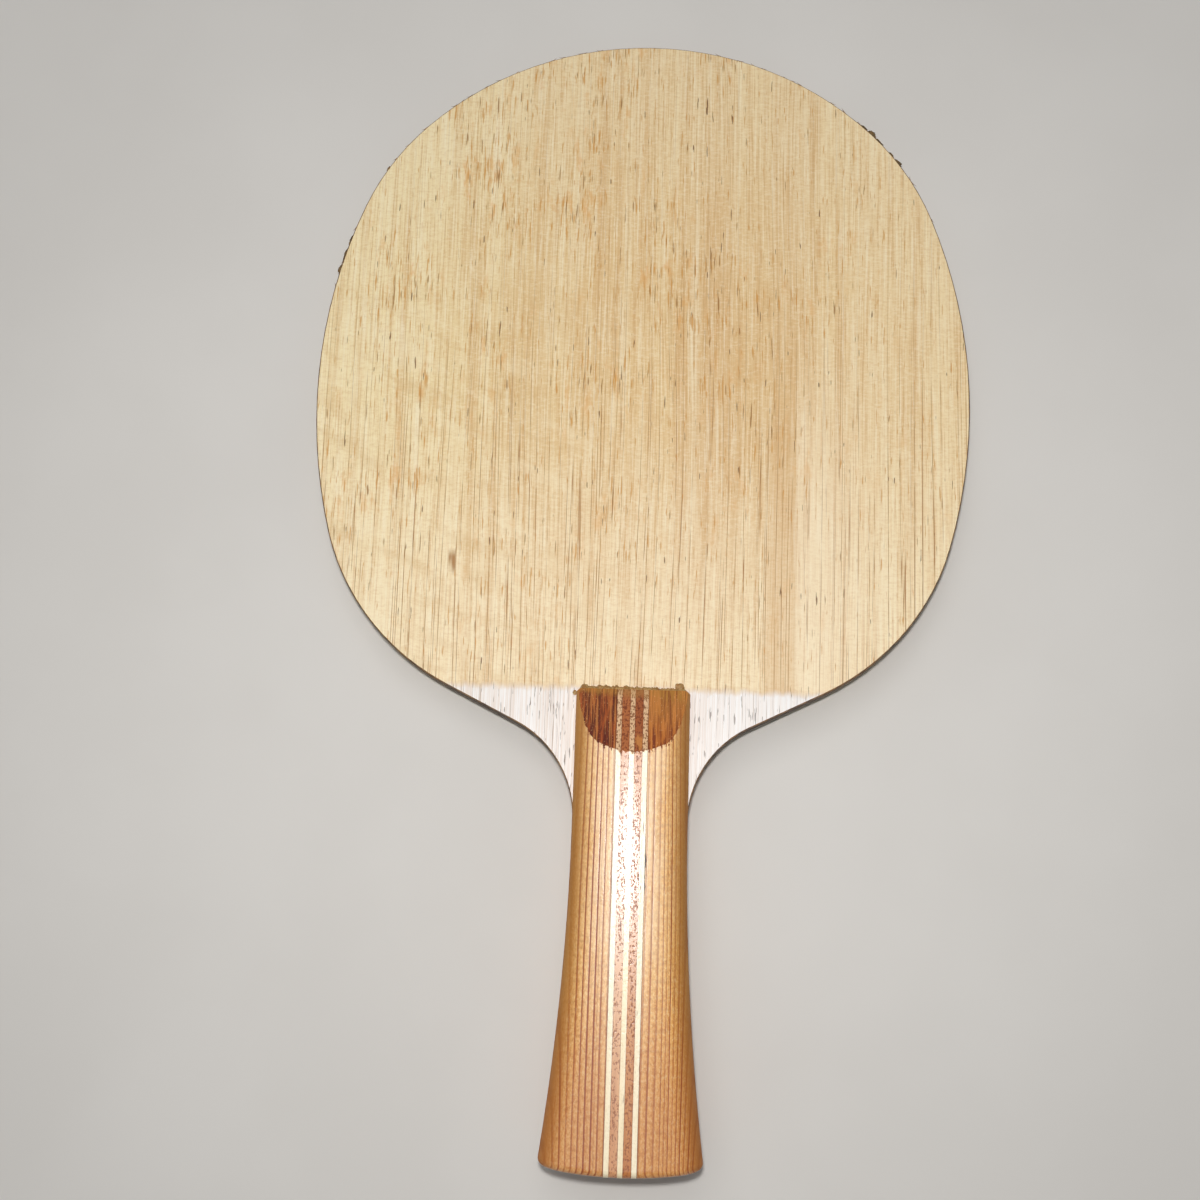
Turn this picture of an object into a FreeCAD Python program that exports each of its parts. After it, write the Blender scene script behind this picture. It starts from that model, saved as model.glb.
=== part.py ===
import FreeCAD, Part
import math
import os
import Sketcher

# A bare table tennis blade: five glued wood plies, and a flared handle of two laminated
# scales, one on each face. Millimetres. +Y runs towards the head's tip, +Z is the front
# face's normal, and the origin is the middle of the whole length, on the mid-plane of the
# plies. "Left" is the -X side on both faces.

os.makedirs("parts", exist_ok=True)

SIZES = (
    # head, seen from the front
    ("head_length", 157.0),       # handle's front end to the tip
    ("head_width", 150.0),
    ("widest_share", 0.441),      # widest line ahead of the handle, as a share of head_length
    ("tip_flatness", 0.2),        # the tip's radius is half of head_width and this much more
    ("shoulder_share", 0.4),      # radius between the tip and the side, as a share of head_width
    ("side_share", 0.8),          # radius of the side, as a share of head_length
    ("cheek_share", 0.365),       # radius below the side, as a share of head_width
    # neck, between the head and the handle
    ("neck_slope", 26.2),         # degrees off the X axis
    ("neck_radius", 23.5),
    ("neck_depth", 28.4),         # where the neck meets the handle, behind its front end
    ("playing_margin", 1.0),      # the playing face stops this far ahead of the handle
    # plies
    ("face_ply", 0.6),
    ("cross_ply", 1.1),
    ("core_ply", 2.6),
    # handle, seen from the front
    ("handle_length", 100.4),
    ("grip_width", 25.0),
    ("waist_length", 1.6),        # straight side between the neck and the flare
    ("flare_radius", 500.0),
    ("butt_radius", 100.0),       # gentle curve of the butt end
    # handle, in section: heights are above the glued face
    ("scale_height", 8.3),
    ("crown_radius", 45.0),       # across the top of the straight part
    ("corner_radius", 6.2),       # long corners between the crown and the sides
    ("nose_height", 4.0),         # left at the front end below the slanted cut
    ("nose_angle", 17.2),         # degrees
    ("nose_bevel", 0.5),
    ("butt_round", 1.5),          # corners and edges of the butt end
    ("rim_bevel", 0.25),          # eased rim of the head and neck, on both faces
    # laminations across the handle
    ("pale_strip", 1.05),
    ("brown_strip", 1.8),
)

# Expressions for places that several sub-parts share.
TIP_Y = "(Sizes.head_length + Sizes.handle_length) / 2"
BUTT_Y = "-(Sizes.head_length + Sizes.handle_length) / 2"
FRONT_Y = "(Sizes.handle_length - Sizes.head_length) / 2"
GLUE_Z = "(Sizes.core_ply / 2 + Sizes.cross_ply + Sizes.face_ply)"
STRAIGHT = "(Sizes.neck_depth + Sizes.waist_length)"
FLARE_Y = "%s - %s" % (FRONT_Y, STRAIGHT)
WIDEST_Y = FRONT_Y + " + Sizes.head_length * Sizes.widest_share"

# The same places as numbers, so that each sketch is drawn where its constraints hold it.
size = dict(SIZES)
tip_y = (size["head_length"] + size["handle_length"]) / 2
butt_y = -tip_y
front_y = (size["handle_length"] - size["head_length"]) / 2
glue_z = size["core_ply"] / 2 + size["cross_ply"] + size["face_ply"]
neck_y = front_y - size["neck_depth"]
flare_y = neck_y - size["waist_length"]
widest_y = front_y + size["head_length"] * size["widest_share"]
tip_radius = size["head_width"] / 2 + size["tip_flatness"]
side_radius = size["head_length"] * size["side_share"]
shoulder_radius = size["head_width"] * size["shoulder_share"]
cheek_radius = size["head_width"] * size["cheek_share"]
grip_half = size["grip_width"] / 2

CLEAR = 3.0                       # how far a cutting shape reaches past the wood
SHORT = 0.1                       # an edge's box lower than this lies flat

START, END, CENTRE = 1, 2, 3      # Sketcher's numbers for an edge's points
ORIGIN = (-1, START)              # the sketch's own origin
UPRIGHT = -2                      # the sketch's own vertical axis

doc = FreeCAD.newDocument("TableTennisBlade")
sheet = doc.addObject("Spreadsheet::Sheet", "Sizes")
for row, (alias, value) in enumerate(SIZES, start=1):
    sheet.set("A%d" % row, alias)
    sheet.set("B%d" % row, str(value))
    sheet.setAlias("B%d" % row, alias)
doc.recompute()


# ---------------------------------------------------------------- drawing helpers

def point(x, y):
    return FreeCAD.Vector(x, y, 0)


def heading(degrees):
    return point(math.cos(math.radians(degrees)), math.sin(math.radians(degrees)))


def meeting(centre_a, radius_a, centre_b, radius_b):
    """Where two circles cross, on the left of the way from a to b."""
    way = centre_b - centre_a
    along = (radius_a ** 2 - radius_b ** 2 + way.Length ** 2) / (2 * way.Length)
    across = math.sqrt(radius_a ** 2 - along ** 2)
    way.normalize()
    return centre_a + way * along + point(-way.y, way.x) * across


def on_circle(centre, radius, towards):
    """The point of a circle that lies in the direction of another point."""
    way = towards - centre
    return centre + way * (radius / way.Length)


def origin_plane(body, role):
    return [plane for plane in body.Origin.OriginFeatures if plane.Role == role][0]


class Profile:
    """A sketch on one of its body's own origin planes, offset is along the plane's normal."""

    def __init__(self, body, name, role, offset="0"):
        self.sketch = body.newObject("Sketcher::SketchObject", name)
        self.sketch.AttachmentSupport = [(origin_plane(body, role), "")]
        self.sketch.MapMode = "FlatFace"
        self.sketch.setExpression("AttachmentOffset.Base.z", offset)

    def line(self, start, end):
        return self.sketch.addGeometry(Part.LineSegment(start, end), False)

    def guide(self, start, end):
        """A line that takes no part in the outline."""
        return self.sketch.addGeometry(Part.LineSegment(start, end), True)

    def arc(self, centre, start, end):
        """An anticlockwise arc from start to end."""
        circle = Part.Circle(centre, FreeCAD.Vector(0, 0, 1), (start - centre).Length)
        first = math.atan2(start.y - centre.y, start.x - centre.x)
        last = math.atan2(end.y - centre.y, end.x - centre.x)
        if last < first:
            last += 2 * math.pi
        return self.sketch.addGeometry(Part.ArcOfCircle(circle, first, last), False)

    def hold(self, kind, *where):
        return self.sketch.addConstraint(Sketcher.Constraint(kind, *where))

    def hold_all(self, kind, *joints):
        """Joins edges: each joint is (edge, its point, the next edge, its point)."""
        for joint in joints:
            self.hold(kind, *joint)

    def bind(self, kind, where, value, name, expression):
        """A dimension bound to the sheet. value is where the sketch was drawn."""
        index = self.hold(kind, *where, value)
        self.sketch.renameConstraint(index, name)
        self.sketch.setExpression("Constraints." + name, expression)


def mirror_across(body, *halves):
    """Doubles features that were drawn on the +X side."""
    mirrored = body.newObject("PartDesign::Mirrored", body.Name + "_both")
    mirrored.Originals = halves
    mirrored.MirrorPlane = (origin_plane(body, "YZ_Plane"), [""])
    body.Tip = mirrored
    doc.recompute()


def ease_edges(body, name, chosen, bevel=None, radius=None):
    """Bevels or rounds those edges of the body so far whose bounding boxes are chosen."""
    base = body.Tip
    edges = enumerate(base.Shape.Edges, start=1)
    eased = body.newObject("PartDesign::Chamfer" if bevel else "PartDesign::Fillet", name)
    eased.Base = (base, ["Edge%d" % number for number, edge in edges if chosen(edge.BoundBox)])
    eased.setExpression("Size" if bevel else "Radius", bevel or radius)
    body.Tip = eased
    doc.recompute()


def at_butt_end(box):
    """True for an edge around the butt, except along a glued face."""
    return box.YMax < butt_y + CLEAR and (box.ZLength > SHORT or box.ZMin > glue_z + SHORT)


# ---------------------------------------------------------------- outlines

def draw_butt_and_flare(profile):
    """The butt end and the flared side of half a ply.

    Returns the flare's edge and its upper end, where the side turns straight.
    """
    butt_centre = point(0, butt_y + size["butt_radius"])
    flare_centre = point(grip_half + size["flare_radius"], flare_y)
    flare_top = point(grip_half, flare_y)
    butt_corner = meeting(flare_centre, size["flare_radius"], butt_centre, size["butt_radius"])

    butt = profile.arc(butt_centre, point(0, butt_y), butt_corner)
    flare = profile.arc(flare_centre, flare_top, butt_corner)
    profile.hold("Coincident", butt, END, flare, END)
    profile.hold("PointOnObject", butt, START, UPRIGHT)
    profile.hold("PointOnObject", butt, CENTRE, UPRIGHT)
    profile.bind("DistanceY", (*ORIGIN, butt, START), butt_y, "butt_y", BUTT_Y)
    profile.bind("DistanceX", (*ORIGIN, flare, START), grip_half, "grip", "Sizes.grip_width / 2")
    profile.bind("DistanceY", (*ORIGIN, flare, START), flare_y, "flare_y", FLARE_Y)
    profile.bind("Radius", (butt,), size["butt_radius"], "butt_radius", "Sizes.butt_radius")
    profile.bind("Radius", (flare,), size["flare_radius"], "flare_radius", "Sizes.flare_radius")
    return flare, flare_top


def draw_blade(profile):
    """Half of the blade's outline: butt, flare, waist, neck, cheek, side, shoulder and tip."""
    flare, flare_top = draw_butt_and_flare(profile)

    neck_end = point(grip_half, neck_y)
    neck_centre = neck_end + point(size["neck_radius"], 0)
    uphill = heading(size["neck_slope"])
    inward = heading(size["neck_slope"] + 90)
    slope_foot = neck_centre + inward * size["neck_radius"]

    tip_centre = point(0, tip_y - tip_radius)
    side_x = size["head_width"] / 2 - side_radius
    side_centre = point(side_x, widest_y)
    shoulder_centre = meeting(side_centre, side_radius - shoulder_radius,
                              tip_centre, tip_radius - shoulder_radius)

    # The cheek's circle touches the slope, and the side's circle from inside.
    reach = side_radius - cheek_radius
    offset = slope_foot + inward * cheek_radius - side_centre
    lean = offset.dot(uphill)
    slope_length = math.sqrt(lean ** 2 - offset.dot(offset) + reach ** 2) - lean
    cheek_centre = side_centre + offset + uphill * slope_length
    slope_head = slope_foot + uphill * slope_length

    cheek_end = on_circle(side_centre, side_radius, cheek_centre)
    side_end = on_circle(side_centre, side_radius, shoulder_centre)
    shoulder_end = on_circle(tip_centre, tip_radius, shoulder_centre)

    waist = profile.line(flare_top, neck_end)
    neck = profile.arc(neck_centre, slope_foot, neck_end)
    slope = profile.line(slope_foot, slope_head)
    cheek = profile.arc(cheek_centre, slope_head, cheek_end)
    side = profile.arc(side_centre, cheek_end, side_end)
    shoulder = profile.arc(shoulder_centre, side_end, shoulder_end)
    tip = profile.arc(tip_centre, shoulder_end, point(0, tip_y))
    axis = profile.line(point(0, tip_y), point(0, butt_y))

    profile.hold_all("Tangent",
                     (flare, START, waist, START),
                     (waist, END, neck, END),
                     (neck, START, slope, START),
                     (slope, END, cheek, START),
                     (cheek, END, side, START),
                     (side, END, shoulder, START),
                     (shoulder, END, tip, START))
    profile.hold_all("Coincident",
                     (tip, END, axis, START),
                     (axis, END, 0, START))
    profile.hold("Vertical", waist)
    profile.hold("PointOnObject", tip, END, UPRIGHT)
    profile.hold("PointOnObject", tip, CENTRE, UPRIGHT)

    profile.bind("DistanceY", (*ORIGIN, tip, END), tip_y, "tip_y", TIP_Y)
    profile.bind("DistanceY", (*ORIGIN, neck, END), neck_y, "neck_y",
                 FRONT_Y + " - Sizes.neck_depth")
    profile.bind("DistanceY", (*ORIGIN, side, CENTRE), widest_y, "widest_y", WIDEST_Y)
    profile.bind("DistanceX", (*ORIGIN, side, CENTRE), side_x, "side_x",
                 "Sizes.head_width / 2 - Sizes.head_length * Sizes.side_share")
    profile.bind("Angle", (slope,), math.radians(size["neck_slope"]), "slope", "Sizes.neck_slope")
    profile.bind("Radius", (neck,), size["neck_radius"], "neck_radius", "Sizes.neck_radius")
    profile.bind("Radius", (cheek,), cheek_radius, "cheek_radius",
                 "Sizes.head_width * Sizes.cheek_share")
    profile.bind("Radius", (side,), side_radius, "side_radius",
                 "Sizes.head_length * Sizes.side_share")
    profile.bind("Radius", (shoulder,), shoulder_radius, "shoulder_radius",
                 "Sizes.head_width * Sizes.shoulder_share")
    profile.bind("Radius", (tip,), tip_radius, "tip_radius",
                 "Sizes.head_width / 2 + Sizes.tip_flatness")


def draw_section(profile):
    """Half of a scale, cut across: glued face, side, long corner, crown and middle.

    The guide line is the upright axis that the flare is turned about.
    """
    radius, corner_radius = size["crown_radius"], size["corner_radius"]
    top = point(0, glue_z + size["scale_height"])
    crown_centre = top - point(0, radius)
    across = grip_half - corner_radius
    shoulder = crown_centre + point(across, math.sqrt((radius - corner_radius) ** 2 - across ** 2))
    crown_end = on_circle(crown_centre, radius, shoulder)
    side_top = shoulder + point(corner_radius, 0)
    foot = point(grip_half, glue_z)
    axis_foot = foot + point(size["flare_radius"], 0)

    glued = profile.line(point(0, glue_z), foot)
    side = profile.line(foot, side_top)
    corner = profile.arc(shoulder, side_top, crown_end)
    crown = profile.arc(crown_centre, crown_end, top)
    middle = profile.line(top, point(0, glue_z))
    axis = profile.guide(axis_foot, axis_foot + point(0, CLEAR))
    profile.hold_all("Coincident",
                     (glued, END, side, START),
                     (crown, END, middle, START),
                     (middle, END, glued, START))
    profile.hold_all("Tangent",
                     (side, END, corner, START),
                     (corner, END, crown, START))
    profile.hold("Horizontal", glued)
    profile.hold("Vertical", side)
    profile.hold("Vertical", axis)
    profile.hold("Horizontal", glued, END, axis, START)
    profile.hold("PointOnObject", crown, END, UPRIGHT)
    profile.hold("PointOnObject", crown, CENTRE, UPRIGHT)
    profile.hold("PointOnObject", middle, END, UPRIGHT)

    profile.bind("Radius", (corner,), corner_radius, "corner_radius", "Sizes.corner_radius")
    profile.bind("Radius", (crown,), radius, "crown_radius", "Sizes.crown_radius")
    profile.bind("DistanceX", (*ORIGIN, glued, END), grip_half, "grip", "Sizes.grip_width / 2")
    profile.bind("DistanceY", (*ORIGIN, glued, END), glue_z, "glue_z", GLUE_Z)
    profile.bind("DistanceY", (*ORIGIN, crown, END), top.y, "top_z",
                 GLUE_Z + " + Sizes.scale_height")
    profile.bind("DistanceX", (glued, END, axis, START), size["flare_radius"], "flare_radius",
                 "Sizes.flare_radius")
    profile.bind("DistanceY", (axis, START, axis, END), CLEAR, "guide", str(CLEAR))


def draw_middle(profile):
    """The flat middle of half a scale, between the lengthwise axis and the turned crown."""
    radius = grip_half + size["flare_radius"]
    centre = point(radius, flare_y)
    past_y = butt_y - CLEAR
    start = point(0, flare_y)
    end = point(radius - math.sqrt(radius ** 2 - (flare_y - past_y) ** 2), past_y)

    inside = profile.arc(centre, start, end)
    past = profile.line(end, point(0, past_y))
    axis = profile.line(point(0, past_y), start)
    profile.hold_all("Coincident",
                     (inside, END, past, START),
                     (past, END, axis, START),
                     (axis, END, inside, START))
    profile.hold("Horizontal", past)
    profile.hold("Horizontal", inside, START, inside, CENTRE)
    profile.hold("PointOnObject", past, END, UPRIGHT)
    profile.hold("PointOnObject", inside, START, UPRIGHT)
    profile.bind("Radius", (inside,), radius, "radius",
                 "Sizes.grip_width / 2 + Sizes.flare_radius")
    profile.bind("DistanceY", (*ORIGIN, inside, START), flare_y, "flare_y", FLARE_Y)
    profile.bind("DistanceY", (*ORIGIN, past, START), past_y, "past_y",
                 "%s - %s" % (BUTT_Y, CLEAR))


def draw_behind_butt(profile):
    """Everything behind the butt's curve, as wide on each side as the grip."""
    radius, side = size["butt_radius"], size["grip_width"]
    centre = point(0, butt_y + radius)
    past_y = butt_y - CLEAR * 2
    corner = point(side, centre.y - math.sqrt(radius ** 2 - side ** 2))

    butt = profile.arc(centre, point(-side, corner.y), corner)
    right = profile.line(corner, point(side, past_y))
    past = profile.line(point(side, past_y), point(-side, past_y))
    left = profile.line(point(-side, past_y), point(-side, corner.y))
    profile.hold_all("Coincident",
                     (butt, END, right, START),
                     (right, END, past, START),
                     (past, END, left, START),
                     (left, END, butt, START))
    profile.hold("Vertical", right)
    profile.hold("Vertical", left)
    profile.hold("Horizontal", past)
    profile.hold("PointOnObject", butt, CENTRE, UPRIGHT)
    profile.bind("Radius", (butt,), radius, "butt_radius", "Sizes.butt_radius")
    profile.bind("DistanceX", (*ORIGIN, past, START), side, "side", "Sizes.grip_width")
    profile.bind("DistanceY", (*ORIGIN, butt, CENTRE), centre.y, "butt_centre",
                 BUTT_Y + " + Sizes.butt_radius")
    profile.bind("DistanceY", (*ORIGIN, past, START), past_y, "past_y",
                 "%s - %s * 2" % (BUTT_Y, CLEAR))


def draw_nose(profile):
    """Everything above the slanted cut at the front end, drawn in the Y and Z plane."""
    angle = 180 - size["nose_angle"]
    edge = point(front_y, glue_z + size["nose_height"])
    ceiling = glue_z + size["scale_height"] + CLEAR
    back = edge + heading(angle) * ((ceiling - edge.y) / heading(angle).y)
    slope = profile.line(edge, back)
    roof = profile.line(back, point(front_y + CLEAR, ceiling))
    front = profile.line(point(front_y + CLEAR, ceiling), point(front_y + CLEAR, edge.y))
    floor = profile.line(point(front_y + CLEAR, edge.y), edge)
    profile.hold_all("Coincident",
                     (slope, END, roof, START),
                     (roof, END, front, START),
                     (front, END, floor, START),
                     (floor, END, slope, START))
    profile.hold("Horizontal", roof)
    profile.hold("Horizontal", floor)
    profile.hold("Vertical", front)
    profile.bind("Angle", (slope,), math.radians(angle), "angle", "180 - Sizes.nose_angle")
    profile.bind("DistanceX", (*ORIGIN, slope, START), edge.x, "front_y", FRONT_Y)
    profile.bind("DistanceY", (*ORIGIN, slope, START), edge.y, "nose_z",
                 GLUE_Z + " + Sizes.nose_height")
    profile.bind("DistanceY", (*ORIGIN, roof, START), ceiling, "ceiling",
                 "%s + Sizes.scale_height + %s" % (GLUE_Z, CLEAR))
    profile.bind("DistanceX", (floor, END, floor, START), CLEAR, "past", str(CLEAR))


# ---------------------------------------------------------------- plies

def make_ply(name, thickness, bottom):
    """One ply, cut to the blade's outline. bottom is the height of its lower face."""
    body = doc.addObject("PartDesign::Body", name)
    profile = Profile(body, name + "_outline", "XY_Plane", bottom)
    draw_blade(profile)
    pad = body.newObject("PartDesign::Pad", name + "_pad")
    pad.Profile = profile.sketch
    pad.setExpression("Length", thickness)
    doc.recompute()
    mirror_across(body, pad)

    def upright_at_butt(box):
        return at_butt_end(box) and box.ZLength > SHORT

    ease_edges(body, name + "_corners", upright_at_butt, radius="Sizes.butt_round")
    return body


def make_face_ply(name, bottom, outer_z):
    """An outer ply, with the playing area as a flat face of its own.

    A rubber sheet covers the playing area, and its edge divides the ply's face from the neck.
    The rim is eased where it shows, ahead of the handle's sides.
    """
    sheet_of_wood = make_ply(name + "_sheet", "Sizes.face_ply", bottom)

    def on_rim(box):
        lies_on_face = abs(box.ZMin - outer_z) < SHORT and abs(box.ZMax - outer_z) < SHORT
        return lies_on_face and box.YMin > neck_y - SHORT

    ease_edges(sheet_of_wood, name + "_rim", on_rim, bevel="Sizes.rim_bevel")
    behind = doc.addObject("Part::Box", name + "_behind")
    behind.setExpression("Length", "Sizes.head_width + %s * 2" % CLEAR)
    behind.setExpression("Width", "Sizes.handle_length + Sizes.playing_margin + %s" % CLEAR)
    behind.setExpression("Height", "Sizes.face_ply + %s * 2" % CLEAR)
    behind.setExpression("Placement.Base.x", "-Sizes.head_width / 2 - %s" % CLEAR)
    behind.setExpression("Placement.Base.y", "%s - %s" % (BUTT_Y, CLEAR))
    behind.setExpression("Placement.Base.z", "%s - %s" % (bottom, CLEAR))

    playing = doc.addObject("Part::Cut", name + "_playing")
    neck = doc.addObject("Part::Common", name + "_neck")
    for half in (playing, neck):
        half.Base = sheet_of_wood
        half.Tool = behind
    ply = doc.addObject("Part::Fuse", name)
    ply.Base = playing
    ply.Tool = neck
    ply.Refine = False
    doc.recompute()
    return ply


def make_plies():
    """The five plies by node name, from the back face to the front one."""
    face, cross, half_core = "Sizes.face_ply", "Sizes.cross_ply", "Sizes.core_ply / 2"
    return {
        "back_face_veneer": make_face_ply("back_face", "-%s" % GLUE_Z, -glue_z),
        "back_cross_veneer": make_ply("back_cross", cross, "-%s - %s" % (half_core, cross)),
        "core_veneer": make_ply("core", "Sizes.core_ply", "-%s" % half_core),
        "front_cross_veneer": make_ply("front_cross", cross, half_core),
        "front_face_veneer": make_face_ply("front_face", "%s - %s" % (GLUE_Z, face), glue_z),
    }


# ---------------------------------------------------------------- handle scales

def make_scale_blank():
    """The front scale before it is divided.

    The straight part and the flare share one section, pushed forward for the one and turned
    about an upright axis for the other, so the sides lie flush with the plies.
    """
    body = doc.addObject("PartDesign::Body", "front_scale")
    # The XZ plane's normal is -Y, so an offset along it runs towards the butt.
    section_offset = "-(%s)" % FLARE_Y
    straight_section = Profile(body, "straight_section", "XZ_Plane", section_offset)
    draw_section(straight_section)
    straight = body.newObject("PartDesign::Pad", "scale_straight")
    straight.Profile = straight_section.sketch
    straight.Reversed = True
    straight.setExpression("Length", STRAIGHT)
    body.Tip = straight
    doc.recompute()

    turned_section = Profile(body, "turned_section", "XZ_Plane", section_offset)
    draw_section(turned_section)
    flare = body.newObject("PartDesign::Revolution", "scale_flare")
    flare.Profile = turned_section.sketch
    flare.ReferenceAxis = (turned_section.sketch, ["Axis0"])
    flare.setExpression("Angle", "asin((Sizes.handle_length - %s + %s) / Sizes.flare_radius)"
                        % (STRAIGHT, CLEAR))
    body.Tip = flare
    doc.recompute()

    middle_outline = Profile(body, "middle_outline", "XY_Plane", GLUE_Z)
    draw_middle(middle_outline)
    middle = body.newObject("PartDesign::Pad", "scale_middle")
    middle.Profile = middle_outline.sketch
    middle.setExpression("Length", "Sizes.scale_height")
    body.Tip = middle
    doc.recompute()
    mirror_across(body, straight, flare, middle)

    butt_outline = Profile(body, "behind_butt", "XY_Plane", GLUE_Z)
    draw_behind_butt(butt_outline)
    nose_outline = Profile(body, "above_nose", "YZ_Plane")
    draw_nose(nose_outline)
    for outline in (butt_outline, nose_outline):
        waste = body.newObject("PartDesign::Pocket", "cut_" + outline.sketch.Name)
        waste.Profile = outline.sketch
        waste.Type = "ThroughAll"
        waste.Midplane = True
        body.Tip = waste
        doc.recompute()

    def at_front_corner(box):
        return box.YMin > front_y - SHORT and box.ZLength > SHORT

    ease_edges(body, "scale_nose_corners", at_front_corner, bevel="Sizes.nose_bevel")
    ease_edges(body, "scale_butt_round", at_butt_end, radius="Sizes.butt_round")
    return body


def make_slabs():
    """Seven upright slabs side by side, as wide as the laminations, that cut up a scale."""
    pale, brown = "Sizes.pale_strip", "Sizes.brown_strip"
    block = "Sizes.head_width / 2"
    widths = (
        ("left_block", block),
        ("left_pale_strip", pale),
        ("left_brown_strip", brown),
        ("middle_pale_strip", pale),
        ("right_brown_strip", brown),
        ("right_pale_strip", pale),
        ("right_block", block),
    )
    slabs = {}
    left = "-%s - (%s * 3 + %s * 2) / 2" % (block, pale, brown)
    for name, width in widths:
        slab = doc.addObject("Part::Box", name + "_slab")
        slab.setExpression("Length", width)
        slab.setExpression("Width", "Sizes.handle_length + %s * 2" % CLEAR)
        slab.setExpression("Height", "(%s + Sizes.scale_height + %s) * 2" % (GLUE_Z, CLEAR))
        slab.setExpression("Placement.Base.x", left)
        slab.setExpression("Placement.Base.y", "%s - %s" % (BUTT_Y, CLEAR))
        slab.setExpression("Placement.Base.z", "-(%s + Sizes.scale_height + %s)" % (GLUE_Z, CLEAR))
        slabs[name] = slab
        left = "%s + %s" % (left, width)
    doc.recompute()
    return slabs


def make_scales():
    """The fourteen laminations of both scales by node name."""
    front = make_scale_blank()
    back = doc.addObject("Part::Mirroring", "back_scale")
    back.Source = front
    back.Normal = (0, 0, 1)
    slabs = make_slabs()
    laminations = {}
    for face, blank in (("front", front), ("back", back)):
        for name, slab in slabs.items():
            lamination = doc.addObject("Part::Common", "%s_%s" % (face, name))
            lamination.Base = blank
            lamination.Tool = slab
            laminations["%s_scale_%s" % (face, name)] = lamination
    doc.recompute()
    return laminations


# ---------------------------------------------------------------- check and write

subparts = {**make_plies(), **make_scales()}
for label, subpart in subparts.items():
    subpart.Label = label
doc.recompute()

for member in doc.Objects:
    if "Invalid" in member.State or "Error" in member.State:
        raise RuntimeError("%s failed: %s" % (member.Name, member.State))
for label, subpart in subparts.items():
    shape = subpart.Shape
    if shape.isNull() or not shape.isValid() or len(shape.Solids) != 1:
        raise RuntimeError("%s isn't one valid solid" % label)

for label, subpart in subparts.items():
    subpart.Shape.exportStep("parts/%s.step" % label)
    print("%-34s %10.1f mm3 %4d faces" % (label, subpart.Shape.Volume, len(subpart.Shape.Faces)))
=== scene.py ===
"""Dresses a bare table tennis blade in its woods, and stands it in a plain studio.

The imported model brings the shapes: five plies, and two handle scales of seven laminations each.
This file gives each of them its wood, adds the dried glue and the frayed rim, and sets up the
floor, the lamps and the camera. Lengths are metres, and millimetres inside the finishes.
"""

import logging
import math
import random
from dataclasses import dataclass
from enum import Enum
from functools import cached_property

import bmesh
import bpy
from mathutils import Matrix, Vector, noise


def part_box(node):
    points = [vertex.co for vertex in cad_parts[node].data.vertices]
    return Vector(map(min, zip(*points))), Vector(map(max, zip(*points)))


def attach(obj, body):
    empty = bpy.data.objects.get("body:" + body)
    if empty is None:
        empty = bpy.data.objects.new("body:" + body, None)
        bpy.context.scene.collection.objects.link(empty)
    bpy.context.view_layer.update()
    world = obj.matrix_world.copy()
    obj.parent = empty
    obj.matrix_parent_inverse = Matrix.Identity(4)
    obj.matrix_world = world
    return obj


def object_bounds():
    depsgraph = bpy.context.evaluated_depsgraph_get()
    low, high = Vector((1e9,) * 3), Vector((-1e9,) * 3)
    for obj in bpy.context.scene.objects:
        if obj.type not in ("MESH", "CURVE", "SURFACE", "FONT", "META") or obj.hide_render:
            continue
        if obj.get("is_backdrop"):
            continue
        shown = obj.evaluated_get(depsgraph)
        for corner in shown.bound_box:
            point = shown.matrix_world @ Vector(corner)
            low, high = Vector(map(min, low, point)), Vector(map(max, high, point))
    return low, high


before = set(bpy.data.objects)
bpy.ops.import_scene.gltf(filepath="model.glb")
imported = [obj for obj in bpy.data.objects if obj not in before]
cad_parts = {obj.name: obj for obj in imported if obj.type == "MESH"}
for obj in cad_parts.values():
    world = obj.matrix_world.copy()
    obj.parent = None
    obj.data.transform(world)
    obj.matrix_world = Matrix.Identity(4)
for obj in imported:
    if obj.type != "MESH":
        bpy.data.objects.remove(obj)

log = logging.getLogger("blade")

MM = 0.001
UPRIGHT = 0.95                   # a face whose normal's z is less is a bevel or an edge
GRIP_HALF = 0.0125               # half the handle's width at its front end
NOSE_HEIGHT = 0.004              # how high the handle's front end stands on the face
NOSE_SLANT = math.radians(17.2)  # the slanted nose's angle off the blade
SEEP_DEPTH = 0.4 * MM            # how deep light spreads in dried glue
FINE_PITCH = 4.5                 # how many fine swellings a lump has to its radius
HEAD_MIDDLE = Vector((0, 0.05, 0))
LAMP_AIM = Vector((0, 0.01, 0))

BMesh = bmesh.types.BMesh
Material = bpy.types.Material
Socket = bpy.types.NodeSocket
Number = float | Socket
Triple = tuple[float, float, float]


class Side(Enum):
    """The two faces of the blade, by the direction each one looks in."""

    FRONT = 1
    BACK = -1

    @property
    def word(self) -> str:
        """The side's name as the parts write it."""
        return self.name.lower()


class Grain(Enum):
    """Which way the fibres of a sheet of wood run."""

    LENGTHWISE = "along the blade"
    CROSSWISE = "across the blade"


@dataclass(frozen=True)
class Tone:
    """A colour as the eye grades it, each part from 0 to 255."""

    red: float
    green: float
    blue: float

    def linear(self) -> tuple[float, float, float, float]:
        """The same colour in amounts of light, with a full alpha.

        Returns:
            Red, green, blue and alpha, each from 0 to 1.
        """
        parts = []
        for part in (self.red, self.green, self.blue):
            share = part / 255
            parts.append(share / 12.92 if share <= 0.04045 else ((share + 0.055) / 1.055) ** 2.4)
        return (*parts, 1.0)


Colour = Tone | Socket


# ---------------------------------------------------------------- a small language for finishes

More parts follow.
